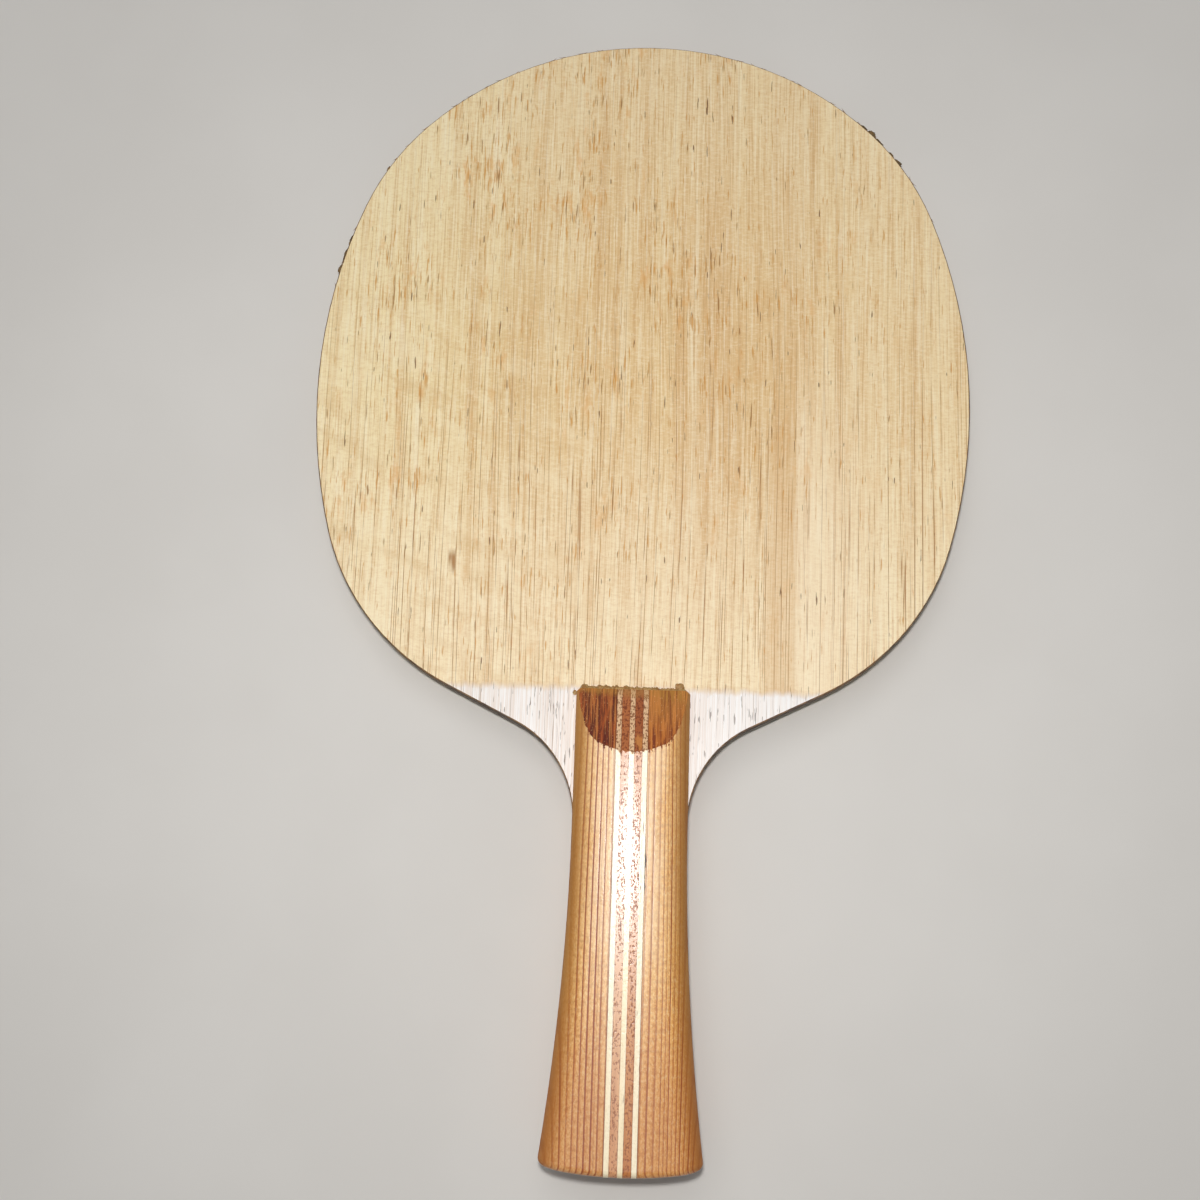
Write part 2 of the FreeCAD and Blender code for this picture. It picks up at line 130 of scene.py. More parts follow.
class Recipe:
    """A material's nodes, written as calls that take and return sockets.

    Args:
        name: the material's name.

    Attributes:
        place: where noise is read, in millimetres. It starts as the point on the blade.
    """

    def __init__(self, name: str) -> None:
        """Starts an empty material."""
        self.material = bpy.data.materials.new(name)
        self.material.use_nodes = True
        self.tree = self.material.node_tree
        self.tree.nodes.clear()
        self.place = self.here

    def add(self, kind: str, **settings: object) -> bpy.types.Node:
        """Adds one node.

        Args:
            kind: the node's type.
            settings: properties to set on it.

        Returns:
            The node.
        """
        node = self.tree.nodes.new(kind)
        for key, value in settings.items():
            setattr(node, key, value)
        return node

    def feed(self, socket: Socket, value: Number | Colour | Triple) -> None:
        """Links a socket into another one, or sets a plain value on it.

        Args:
            socket: the input to feed.
            value: where it comes from.
        """
        if isinstance(value, bpy.types.NodeSocket):
            self.tree.links.new(value, socket)
        else:
            socket.default_value = value.linear() if isinstance(value, Tone) else value

    def feed_all(self, node: bpy.types.Node, *values: Number | Colour | Triple) -> bpy.types.Node:
        """Feeds a node's inputs in their order.

        Args:
            node: the node.
            values: what goes into its first inputs.

        Returns:
            The node.
        """
        for socket, value in zip(node.inputs, values):
            self.feed(socket, value)
        return node

    def maths(self, operation: str, *values: Number) -> Socket:
        """One sum on numbers, by Blender's name for it."""
        return self.feed_all(self.add("ShaderNodeMath", operation=operation), *values).outputs[0]

    def plus(self, first: Number, second: Number) -> Socket:
        """Adds two numbers."""
        return self.maths("ADD", first, second)

    def minus(self, first: Number, second: Number) -> Socket:
        """Takes the second number from the first."""
        return self.maths("SUBTRACT", first, second)

    def times(self, first: Number, second: Number) -> Socket:
        """Multiplies two numbers."""
        return self.maths("MULTIPLY", first, second)

    def most(self, first: Number, second: Number) -> Socket:
        """The larger of two numbers."""
        return self.maths("MAXIMUM", first, second)

    def size(self, number: Number) -> Socket:
        """A number without its sign."""
        return self.maths("ABSOLUTE", number)

    def reach(self, x: Number, y: Number) -> Socket:
        """How far the point x, y lies from 0, 0."""
        return self.maths("SQRT", self.plus(self.times(x, x), self.times(y, y)))

    def ease(self, value: Number, low: float, high: float,
             bottom: float = 0.0, top: float = 1.0) -> Socket:
        """Goes smoothly from bottom to top as a value goes from low up, or down, to high."""
        node = self.add("ShaderNodeMapRange", interpolation_type="SMOOTHSTEP")
        return self.feed_all(node, value, low, high, bottom, top).outputs[0]

    def mix(self, amount: Number, under: Colour, over: Colour) -> Socket:
        """Lays one colour over another.

        Args:
            amount: how much of the upper colour, from 0 to 1.
            under: the colour below.
            over: the colour on top.

        Returns:
            The blended colour.
        """
        node = self.add("ShaderNodeMix", data_type="RGBA", blend_type="MIX")
        self.feed(node.inputs[0], amount)
        self.feed(node.inputs[6], under)
        self.feed(node.inputs[7], over)
        return node.outputs[2]

    @cached_property
    def here(self) -> Socket:
        """The point on the blade in millimetres."""
        return self.scaled(self.add("ShaderNodeTexCoord").outputs["Object"], (1000, 1000, 1000))

    @cached_property
    def x(self) -> Socket:
        """How far right the point is, in millimetres."""
        return self.parts(self.here)[0]

    @cached_property
    def y(self) -> Socket:
        """How far towards the tip the point is, in millimetres."""
        return self.parts(self.here)[1]

    @cached_property
    def z(self) -> Socket:
        """How high the point is, in millimetres."""
        return self.parts(self.here)[2]

    @cached_property
    def facing(self) -> list[Socket]:
        """The x, y and z of the face's flat normal."""
        return self.parts(self.add("ShaderNodeNewGeometry").outputs["True Normal"])

    def parts(self, vector: Socket) -> list[Socket]:
        """A vector's x, y and z."""
        return list(self.feed_all(self.add("ShaderNodeSeparateXYZ"), vector).outputs)

    def vector(self, x: Number, y: Number, z: Number) -> Socket:
        """A vector of three numbers."""
        return self.feed_all(self.add("ShaderNodeCombineXYZ"), x, y, z).outputs[0]

    def scaled(self, vector: Socket, by: Triple, shift: Triple = (0, 0, 0)) -> Socket:
        """A vector stretched along each axis, then moved."""
        node = self.add("ShaderNodeVectorMath", operation="MULTIPLY_ADD")
        return self.feed_all(node, vector, by, shift).outputs[0]

    def along(self, vector: Socket, direction: Triple) -> Socket:
        """How far a vector points in a direction."""
        node = self.add("ShaderNodeVectorMath", operation="DOT_PRODUCT")
        return self.feed_all(node, vector, direction).outputs["Value"]

    def cloud(self, by: Triple, detail: float = 2.0, roughness: float = 0.5,
              shift: Triple = (0, 0, 0), bend: float = 0.0, at: Socket | None = None) -> Socket:
        """Soft noise around 0.5.

        Args:
            by: how many features it has to a millimetre, along each axis.
            detail: how many finer layers it has.
            roughness: how strong the finer layers are.
            shift: moves it, by its own features.
            bend: how much it is bent by itself.
            at: where to read it, if not at the recipe's place.

        Returns:
            The noise.
        """
        node = self.add("ShaderNodeTexNoise")
        spot = self.scaled(at or self.place, by, shift)
        for name, value in (("Vector", spot), ("Scale", 1.0), ("Detail", detail),
                            ("Roughness", roughness), ("Distortion", bend)):
            self.feed(node.inputs[name], value)
        return node.outputs["Fac"]

    def contours(self, by: Triple, shift: float, width: float) -> Socket:
        """Thin wandering lines, along which soft noise passes through its middle value.

        Where the noise is nearly level a line would swell to a smear, so the distance to
        the line is reckoned with the noise's slope.

        Args:
            by: how many features the noise has to a millimetre, along each axis.
            shift: moves it along x, by its own features.
            width: half the width of a line, in features.

        Returns:
            1 on a line, 0 between the lines.
        """
        step, least_slope, core = 0.1, 0.05, 0.3
        level = self.cloud(by, 1.0, shift=(shift, 0, 0))
        beside = self.cloud(by, 1.0, shift=(shift + step, 0, 0))
        rise = self.size(self.minus(beside, level))
        slope = self.most(self.times(rise, 1 / step), least_slope)
        away = self.maths("DIVIDE", self.size(self.plus(level, -0.5)), slope)
        return self.ease(away, width, width * core)

    def relief(self, height: Socket, depth: float) -> Socket:
        """A normal that shows a height as relief.

        Args:
            height: the height, from 0 to 1.
            depth: what a height of 1 stands for, in millimetres.

        Returns:
            The bent normal.
        """
        node = self.add("ShaderNodeBump")
        node.inputs["Strength"].default_value = 1.0
        node.inputs["Distance"].default_value = depth * MM
        self.feed(node.inputs["Height"], height)
        return node.outputs["Normal"]

    def surface(self, colour: Colour, roughness: Number, normal: Socket | None = None,
                coat: Number = 0.0, coat_roughness: float = 0.2, seep: float = 0.0) -> Material:
        """Ends the recipe with its shader.

        Args:
            colour: the base colour.
            roughness: how matt it is.
            normal: the relief.
            coat: how much lacquer lies on it.
            coat_roughness: how matt the lacquer is.
            seep: how much light spreads below the surface.

        Returns:
            The finished material.
        """
        shader = self.add("ShaderNodeBsdfPrincipled")
        self.feed(shader.inputs["Base Color"], colour)
        self.feed(shader.inputs["Roughness"], roughness)
        self.feed(shader.inputs["Coat Weight"], coat)
        shader.inputs["Coat Roughness"].default_value = coat_roughness
        shader.inputs["Subsurface Weight"].default_value = seep
        shader.inputs["Subsurface Scale"].default_value = SEEP_DEPTH
        if normal is not None:
            self.feed(shader.inputs["Normal"], normal)
            self.feed(shader.inputs["Coat Normal"], normal)
        output = self.add("ShaderNodeOutputMaterial")
        self.tree.links.new(shader.outputs[0], output.inputs["Surface"])
        return self.material


@dataclass
class Layers:
    """A colour built up by laying others over it.

    Attributes:
        recipe: the material that it is for.
        colour: the colour so far.
    """

    recipe: Recipe
    colour: Colour

    def lay(self, tone: Colour, share: Number) -> None:
        """Lays a tone over the colour so far, by a share from 0 to 1."""
        self.colour = self.recipe.mix(share, self.colour, tone)

    def stain(self, tone: Colour, value: Number, low: float, high: float,
              top: float = 1.0) -> None:
        """Lays a tone on where a value goes from low to high, up to a share of top."""
        self.lay(tone, self.recipe.ease(value, low, high, 0, top))


# ---------------------------------------------------------------- finishes

# Painted shade: the near-black tone of the neck's cut edge where it lies in shade.
NECK_EDGE_SHADE = Tone(44, 33, 25)


def neck_edge_shade(r: Recipe) -> Socket:
    """1 along the neck's edge, where the cut edge is darkened as painted shade, fading out along
    the head.
    """
    return r.times(r.ease(r.y, -59.0, -56.0), r.ease(r.y, -18.0, -32.0))


@dataclass(frozen=True)
class FaceVeneerFinish:
    """The pale outer veneer: bare and aged under the rubber, lacquered at the neck.

    Attributes:
        name: the material's name.
        front_y: the handle's front end, in millimetres.
        shift: moves the figure, so that the two faces aren't alike.
    """

    name: str
    front_y: float
    shift: float

    def paint(self) -> Material:
        """Builds the material.

        Returns:
            The material.
        """
        r = Recipe(self.name)
        r.place = r.scaled(r.here, (1, 1, 1), (self.shift, self.shift * 3, 0))
        x, y, z = r.parts(r.place)
        wander = r.cloud((0.03, 0.007, 0.03), 1.0)
        r.place = r.vector(r.plus(x, r.times(wander, 4.0)), y, z)

        wood = Layers(r, Tone(231, 200, 147))
        self.figure(r, wood)
        self.growth(r, wood)
        self.sheen(r, wood)
        pores = self.pores(r, wood)
        bare = self.neck(r, wood)
        self.rim(r, wood)

        fibre = r.cloud((2.4, 0.05, 2.4), 3.0, 0.6)
        height = r.minus(fibre, r.times(pores, 0.7))
        roughness = r.plus(r.ease(bare, 0, 1, 0.44, 0.52), r.times(fibre, 0.1))
        return r.surface(wood.colour, roughness, r.relief(height, 0.05),
                         coat=r.ease(bare, 0, 1, 0.2, 0.0), coat_roughness=0.3)

    def figure(self, r: Recipe, wood: Layers) -> None:
        """Lays on the veneer's broad colour, bands and fibres, and painted light that pales it
        towards the rim.

        Args:
            r: the recipe.
            wood: the colour.
        """
        wood.stain(Tone(221, 184, 130), r.cloud((0.09, 0.004, 0.1), 3.0), 0.36, 0.66)
        wood.stain(Tone(240, 220, 166), r.x, 0, -66, 0.9)
        wood.stain(Tone(243, 219, 182), r.y, 45, -26, 0.8)
        # Painted light: paler towards the rim, against the near lamp's falloff.
        wood.stain(Tone(250, 230, 186), r.reach(r.x, r.plus(r.y, -45)), 20, 85, 0.5)
        streaks = r.cloud((0.4, 0.008, 0.4), 3.0, 0.6, (7, 0, 0))
        wood.stain(Tone(206, 160, 100), streaks, 0.50, 0.72, 0.4)
        wood.stain(Tone(248, 232, 194), streaks, 0.48, 0.28, 0.4)
        fibres = r.cloud((2.4, 0.045, 2.4), 4.0, 0.72, (0, 5, 0))
        wood.stain(Tone(198, 146, 84), fibres, 0.50, 0.68, 0.5)
        wood.stain(Tone(252, 240, 210), fibres, 0.50, 0.34, 0.45)
        chatter = r.cloud((0.8, 2.0, 0.8), 3.0, 0.7, (0, 3, 0))
        wood.stain(Tone(206, 160, 100), chatter, 0.5, 0.66, 0.2)
        wood.stain(Tone(255, 242, 210), chatter, 0.5, 0.34, 0.22)

    def growth(self, r: Recipe, wood: Layers) -> None:
        """Lays on thin growth lines, which come and go, most of them low on the sheet.

        Args:
            r: the recipe.
            wood: the colour.
        """
        lines = r.contours((0.62, 0.0035, 0.5), 31, 0.08)
        broken = r.cloud((0.7, 0.05, 0.7), 3.0, 0.65, (0, 41, 0))
        low = r.ease(r.y, 95, -5, 0.2, 0.9)
        wood.lay(Tone(158, 104, 34), r.times(r.times(lines, r.ease(broken, 0.36, 0.58)), low))

    def sheen(self, r: Recipe, wood: Layers) -> None:
        """Lays on a faint cloudy figure to the left, and one darker band right of the middle.

        Args:
            r: the recipe.
            wood: the colour.
        """
        slanted = r.vector(r.along(r.here, (0.50, 0.86, 0)), r.along(r.here, (-0.86, 0.50, 0)), 0)
        clouds = r.cloud((0.16, 0.05, 0.0), 3.0, 0.55, bend=0.4, at=slanted)
        left = r.times(r.ease(r.x, 25, -45, 0.15, 1.0), r.ease(r.y, 95, 30))
        wood.lay(Tone(208, 168, 108), r.times(r.ease(clouds, 0.5, 0.68, 0, 0.3), left))
        wood.lay(Tone(250, 234, 196), r.times(r.ease(clouds, 0.48, 0.32, 0, 0.3), left))

        # The band ends at a straight edge, and paler wood follows it.
        low = r.times(r.ease(r.y, 70, 15), 0.3)
        dull = r.times(r.ease(r.x, 27, 31), r.ease(r.x, 35.9, 35.2))
        pale = r.times(r.ease(r.x, 35.2, 35.9), r.ease(r.x, 60, 38))
        wood.lay(Tone(206, 158, 100), r.times(dull, low))
        wood.lay(Tone(252, 232, 200), r.times(pale, low))

    def pores(self, r: Recipe, wood: Layers) -> Socket:
        """Lays on short pores and stains along the grain.

        Args:
            r: the recipe.
            wood: the colour.

        Returns:
            How much of a pore there is here.
        """
        busy = r.times(r.ease(r.y, -25, 60, 0.45, 1.0), r.ease(r.x, 62, 5, 0.4, 1.0))
        patches = r.cloud((0.055, 0.026, 0.0), 3.0, 0.6, (3, 9, 0))
        crowd = r.times(r.ease(patches, 0.42, 0.62, 0.1, 1.0), busy)

        stains = r.cloud((0.36, 0.12, 0.0), 3.0, 0.7, (11, 2, 0))
        wood.lay(Tone(222, 160, 82), r.times(r.ease(stains, 0.52, 0.70), r.times(crowd, 0.6)))
        lift = r.plus(r.times(crowd, 0.075), -0.03)
        amber = r.plus(r.cloud((2.1, 0.13, 0.0), 2.0, 0.6, (17, 4, 0)), lift)
        amber = r.ease(amber, 0.62, 0.69)
        wood.lay(Tone(206, 142, 54), r.times(amber, 0.8))
        brown = r.plus(r.cloud((1.7, 0.10, 0.0), 2.0, 0.6, (5, 23, 0)), lift)
        brown = r.ease(brown, 0.665, 0.72)
        wood.lay(Tone(148, 96, 14), r.times(brown, 0.8))
        dark = r.ease(r.cloud((1.35, 0.12, 0.0), 2.0, 0.6, (29, 13, 0)), 0.70, 0.725)
        wood.lay(Tone(106, 62, 0), r.times(dark, 0.9))
        return r.most(amber, r.most(brown, dark))

    def neck(self, r: Recipe, wood: Layers) -> Socket:
        """Lays on the lacquered neck, behind the line where the rubber ended, its pale base partly
        painted highlight.

        Args:
            r: the recipe.
            wood: the colour.

        Returns:
            1 on the bare wood, 0 on the lacquered wood.
        """
        ragged = r.cloud((0.35, 0.2, 0.0), 4.0, 0.6, (1, 1, 0))
        line = r.plus(r.y, r.times(r.plus(ragged, -0.5), 3.0))
        bare = r.ease(line, self.front_y - 0.2, self.front_y + 1.6)
        # Partly painted highlight: the near-white base stands for the lamp's glare on the
        # lacquered wood.
        neck_wood_and_glare = Layers(r, Tone(243, 239, 235))
        fibres = r.cloud((2.2, 0.03, 2.2), 4.0, 0.7, (4, 4, 0))
        neck_wood_and_glare.stain(Tone(226, 211, 198), fibres, 0.36, 0.62)
        neck_wood_and_glare.stain(Tone(247, 243, 240), r.x, 5, 25, 0.5)
        marked = r.ease(r.x, 20, -10, 0.8, 1.0)
        lines = r.contours((0.75, 0.005, 0.55), 77, 0.065)
        broken = r.cloud((0.7, 0.06, 0.7), 3.0, 0.65, (0, 12, 0))
        lines = r.times(lines, r.ease(broken, 0.42, 0.60, 0, 0.85))
        neck_wood_and_glare.lay(Tone(132, 98, 70), r.times(lines, marked))
        pits = r.ease(r.cloud((2.0, 0.20, 0.0), 2.0, 0.6, (37, 19, 0)), 0.63, 0.67)
        neck_wood_and_glare.lay(Tone(80, 54, 32), r.times(r.times(pits, 0.85), marked))
        edge = r.times(r.ease(line, self.front_y - 0.4, self.front_y + 0.5),
                       r.ease(line, self.front_y + 2.2, self.front_y + 0.8))
        wood.colour = r.mix(bare, neck_wood_and_glare.colour, wood.colour)
        wood.lay(Tone(206, 160, 102), r.times(edge, 0.2))
        return bare

    def rim(self, r: Recipe, wood: Layers) -> None:
        """Lays on the worn bevel around the face, and the sheet's cut edge below it, whose dark
        tones are partly painted shade.

        Args:
            r: the recipe.
            wood: the colour.
        """
        lean = r.size(r.facing[2])
        wear = r.cloud((0.35, 0.35, 0.35), 4.0, 0.7)
        worn = Layers(r, Tone(150, 110, 66))
        worn.stain(Tone(78, 54, 32), wear, 0.35, 0.65)
        wood.stain(worn.colour, lean, 0.97, UPRIGHT)
        # Partly painted shade: the cut edge's tones are darkened for the shade it lies in.
        cut = Layers(r, Tone(124, 92, 57))
        cut.stain(Tone(74, 52, 32), wear, 0.3, 0.7)
        # Painted shade on the neck's cut edge.
        cut.lay(NECK_EDGE_SHADE, r.times(neck_edge_shade(r), 0.8))
        wood.stain(cut.colour, lean, 0.4, 0.2)


@dataclass(frozen=True)
class InnerPlyFinish:
    """An inner ply, of which only the cut edge shows.

    Attributes:
        name: the material's name.
        grain: which way its fibres run.
        light: the wood between the growth lines.
        dark: the growth lines.
    """

    name: str
    grain: Grain
    light: Tone
    dark: Tone

    def paint(self) -> Material:
        """Builds the material.

        Returns:
            The material.
        """
        r = Recipe(self.name)
        fine, long = 2.6, 0.07
        stretch = (fine, long, fine) if self.grain is Grain.LENGTHWISE else (long, fine, fine)
        fibres = r.cloud(stretch, 3.0, 0.65)
        soil = r.cloud((0.08, 0.08, 0.3), 3.0, 0.6)
        holes = r.cloud(tuple(part * 1.6 for part in stretch), shift=(5, 5, 5))
        wood = Layers(r, self.light)
        wood.stain(self.dark, fibres, 0.36, 0.64)
        wood.stain(Tone(120, 84, 50), soil, 0.48, 0.72, 0.55)
        wood.stain(Tone(96, 64, 38), holes, 0.64, 0.72, 0.6)
        # Painted shade on the neck's cut edge.
        wood.lay(NECK_EDGE_SHADE, r.times(neck_edge_shade(r), 0.8))
        height = r.minus(fibres, r.ease(holes, 0.6, 0.72))
        return r.surface(wood.colour, r.ease(soil, 0.3, 0.7, 0.62, 0.78), r.relief(height, 0.12))


@dataclass(frozen=True)
class ScaleShape:
    """What the finishes of a handle scale need to know about its shape, in millimetres.

    Attributes:
        front_y: the handle's front end.
        strips_half: half the width of the five middle strips.
        middle_half: half the width of the middle strip.
        brown_end: the outer edge of the brown strips.
        nose_z: the height of the nose at its front end.
    """

    front_y: float
    strips_half: float
    middle_half: float
    brown_end: float
    nose_z: float

    def on_nose(self, r: Recipe) -> Socket:
        """1 on the bare slanted nose and where the lacquer has chipped off beside it, else 0.

        Args:
            r: the recipe.

        Returns:
            The share.
        """
        lean = r.along(r.vector(0.0, r.facing[1], r.size(r.facing[2])),
                       (0, math.sin(NOSE_SLANT), math.cos(NOSE_SLANT)))
        climb = math.tan(NOSE_SLANT)
        plane = r.plus(r.times(r.y, -climb), self.front_y * climb + self.nose_z)
        above = r.minus(plane, r.size(r.z))
        ragged = r.cloud((1.3, 0.5, 0.2), 3.0, 0.7, (4, 4, 4), at=r.here)
        chipped = r.ease(r.minus(above, r.ease(ragged, 0.46, 0.66, 0, 0.26)), 0.02, 0)
        return r.most(r.ease(lean, 0.993, 0.998), chipped)

    def on_front_end(self, r: Recipe) -> Socket:
        """1 on the upright front end, 0 elsewhere."""
        return r.ease(r.facing[1], 0.85, 0.97)

    def crown_glare_and_butt_tone(self, r: Recipe, wood: Layers) -> None:
        """Lays on a pale patch on the crown of the grip, painted highlight of the lamp's glare,
        and darker wood by the butt.

        Args:
            r: the recipe.
            wood: the colour.
        """
        patchy = r.cloud((0.35, 0.10, 0.3), 3.0, 0.65, (5, 1, 0))
        crown = r.ease(r.size(r.x), 12.0, 5.0)
        grip = r.ease(r.y, self.front_y - 80, self.front_y - 36)
        # Painted highlight: the pale crown patch stands for the lamp's glare on the lacquer.
        crown_glare = r.times(r.times(crown, grip), r.ease(patchy, 0.30, 0.62, 0.2, 0.6))
        wood.lay(Tone(252, 222, 180), crown_glare)
        wood.stain(Tone(178, 98, 38), r.y, self.front_y - 52, self.front_y - 92, 0.48)

    def joints(self, r: Recipe) -> Socket:
        """How much dark glue shows along the joints on both sides of the brown strips.

        Args:
            r: the recipe.

        Returns:
            The share.
        """
        across = r.size(r.x)
        inner = r.size(r.plus(across, -self.middle_half))
        outer = r.size(r.plus(across, -self.brown_end))
        near = r.ease(r.maths("MINIMUM", inner, outer), 0.20, 0.07)
        broken = r.cloud((0.6, 0.09, 0.6), 3.0, 0.7, (8, 8, 8))
        return r.times(near, r.ease(broken, 0.38, 0.58, 0.15, 1.0))

    def glue_soil(self, r: Recipe) -> Socket:
        """How much old glue lies on the nose, most of it at the front end and to the right.

        Args:
            r: the recipe.

        Returns:
            The share.
        """
        ragged = r.cloud((0.45, 0.25, 0.3), 3.0, 0.6)
        depth = r.plus(r.plus(r.y, r.times(ragged, 3.0)), r.times(r.x, 0.06))
        return r.ease(depth, self.front_y - 0.9, self.front_y + 0.8)


@dataclass(frozen=True)
class BlockFinish:
    """Lacquered softwood with dark growth lines, bare and red-brown on the slanted nose.

    Attributes:
        name: the material's name.
        shape: the scale it is on.
        pith: the middle of the growth rings, seen along the handle: how far past the strips
            on their other side, and how high, in millimetres.
        spacing: from one growth line to the next, next to the strips, in millimetres.
        fine_spacing: the same, farther out.
        fine_from: how far from the strips the lines change from one to the other.
        light: the wood between the lines.
        warm: its second shade.
        late: the growth lines.
        side: the fibres' dark shade, also laid on the steep sides as painted shade.
        nose: the bare wood of the nose.
        nose_light: its lighter streaks.
        ochre: how much old glue has soaked into the nose, from 0 to 1.
        crack: how far the glue joint has opened behind the nose, in millimetres.
        shift: moves the figure.
    """

    name: str
    shape: ScaleShape
    pith: tuple[float, float]
    spacing: float
    fine_spacing: float
    fine_from: float
    light: Tone
    warm: Tone
    late: Tone
    side: Tone
    nose: Tone
    nose_light: Tone
    ochre: float
    crack: float
    shift: float

    def paint(self) -> Material:
        """Builds the material.

        Returns:
            The material.
        """
        r = Recipe(self.name)
        r.place = r.scaled(r.here, (1, 1, 1), (self.shift, self.shift, 0))
        nose = self.shape.on_nose(r)

        line, tint = self.rings(r)
        fibres = r.cloud((2.8, 0.05, 2.8), 4.0, 0.7)
        specks = r.cloud((2.6, 1.2, 2.6), 3.0, 0.75)
        ripple = r.cloud((0.3, 0.9, 0.3), 3.0, 0.7)
        wood = Layers(r, self.light)
        wood.lay(self.warm, tint)
        wood.stain(self.side, fibres, 0.5, 0.7, 0.4)
        wood.stain(Tone(244, 192, 124), fibres, 0.5, 0.32, 0.4)
        wood.stain(Tone(158, 84, 32), specks, 0.5, 0.66, 0.5)
        wood.stain(Tone(255, 228, 168), specks, 0.5, 0.34, 0.62)
        wood.stain(Tone(166, 98, 46), ripple, 0.45, 0.7, 0.3)
        turned = r.size(r.facing[0])
        sides = r.ease(turned, 0.22, 0.85)
        # Painted shade: the steep sides darkened where they turn from the light.
        wood.lay(self.side, r.times(sides, 0.85))
        self.shape.crown_glare_and_butt_tone(r, wood)
        shown = r.times(line, r.ease(turned, 0.45, 0.9, 1.0, 0.25))
        wood.lay(self.late, shown)

        gap = r.plus(r.size(r.x), -self.shape.strips_half)
        crack = self.opened(r, gap)
        raw = self.bare_nose(r)
        wood.lay(raw, r.most(nose, self.shape.on_front_end(r)))
        wood.stain(Tone(112, 60, 26), gap, 0.24, 0.10, 0.8)
        wood.lay(Tone(54, 30, 18), crack)
        self.end_wood(r, wood)

        height = r.plus(r.times(fibres, 0.6), r.times(ripple, 0.8))
        height = r.minus(height, r.times(line, 0.35))
        matt = r.most(nose, r.times(sides, 0.8))
        coat = r.times(r.ease(matt, 0, 1, 0.7, 0.0), r.ease(specks, 0.52, 0.66, 1.0, 0.2))
        coat = r.times(coat, r.ease(r.most(line, crack), 0, 1, 1.0, 0.4))
        return r.surface(wood.colour, r.plus(r.ease(matt, 0, 1, 0.42, 0.8), r.times(fibres, 0.1)),
                         r.relief(height, 0.03), coat=coat, coat_roughness=0.22)

    def rings(self, r: Recipe) -> tuple[Socket, Socket]:
        """The growth rings as they cut this surface. They fan out with the flare.

        Args:
            r: the recipe.

        Returns:
            How much of a growth line is here, and the shade of the ring that it is in.
        """
        beyond = r.plus(r.size(r.x), -self.shape.strips_half)
        fan = r.ease(r.y, self.shape.front_y, self.shape.front_y - 100, 1.0, 1.18)
        beyond = r.maths("DIVIDE", beyond, fan)
        from_pith = r.reach(r.plus(beyond, self.pith[0]), r.plus(r.size(r.z), -self.pith[1]))
        drift = r.cloud((0.06, 0.008, 0.06), 1.0)
        from_pith = r.plus(from_pith, r.times(drift, 0.8))
        count = r.maths("DIVIDE", from_pith, self.spacing)
        extra = 1 / self.fine_spacing - 1 / self.spacing
        farther = r.most(r.plus(beyond, -self.fine_from), 0.0)
        count = r.plus(count, r.times(farther, extra))
        through = r.maths("FRACT", count)
        chance = self.chance(r, r.maths("FLOOR", count))
        fade = r.cloud((0.5, 0.02, 0.5), shift=(3, 0, 0))
        line = r.times(r.ease(through, 0.64, 0.82), r.ease(through, 1.0, 0.94))
        line = r.times(line, r.ease(chance, 0.0, 0.8, 0.45, 1.0))
        hair = r.times(r.ease(through, 0.30, 0.40), r.ease(through, 0.52, 0.42))
        line = r.most(line, r.times(hair, r.ease(chance, 0.55, 0.9, 0.0, 0.45)))
        line = r.times(line, r.ease(fade, 0.25, 0.55, 0.7, 1.0))
        return line, r.plus(r.ease(through, 0.15, 0.95, 0, 0.8), r.times(chance, 0.2))

    def chance(self, r: Recipe, number: Socket) -> Socket:
        """A steady random number for each ring.

        Args:
            r: the recipe.
            number: the ring's number.

        Returns:
            The random number, from 0 to 1.
        """
        node = r.add("ShaderNodeTexWhiteNoise", noise_dimensions="1D")
        r.feed(node.inputs["W"], r.plus(number, self.shift))
        return node.outputs["Value"]

    def bare_nose(self, r: Recipe) -> Socket:
        """The cut nose: no lacquer, dark from hands, with glue at its front end.

        Args:
            r: the recipe.

        Returns:
            The colour.
        """
        streaks = r.cloud((1.5, 0.022, 0.6), 3.0, 0.65, (2, 2, 0))
        threads = r.cloud((2.7, 0.045, 0.3), shift=(6, 2, 0))
        soil = r.cloud((0.16, 0.12, 0.1), shift=(6, 3, 0))
        grit = r.cloud((3.0, 2.2, 3.0), 2.0, 0.7, (6, 5, 0))
        raw = Layers(r, self.nose)
        raw.stain(self.nose_light, streaks, 0.46, 0.62)
        raw.stain(Tone(88, 32, 14), soil, 0.48, 0.68, 0.5)
        raw.stain(Tone(184, 124, 54), r.y, self.shape.front_y - 12, self.shape.front_y - 2,
                  self.ochre)
        raw.lay(Tone(168, 116, 44), r.times(self.shape.glue_soil(r), 0.7))
        raw.stain(Tone(206, 130, 64), threads, 0.54, 0.63, 0.55)
        raw.stain(self.nose, threads, 0.47, 0.38, 0.7)
        raw.stain(Tone(220, 170, 116), grit, 0.60, 0.70, 0.4)
        return raw.colour

    def opened(self, r: Recipe, gap: Socket) -> Socket:
        """Where the glue joint has opened into a ragged crack, behind the nose.

        Args:
            r: the recipe.
            gap: how far past the strips the point is, in millimetres.

        Returns:
            The share.
        """
        front = self.shape.front_y
        stretch = r.times(r.ease(r.y, front - 47, front - 41), r.ease(r.y, front - 30, front - 37))
        ragged = r.cloud((1.5, 0.35, 1.0), 3.0, 0.7, (2, 7, 1), at=r.here)
        wide = r.times(stretch, r.ease(ragged, 0.35, 0.65, 0.08, self.crack))
        return r.times(r.ease(r.minus(gap, wide), 0.06, -0.04), stretch)

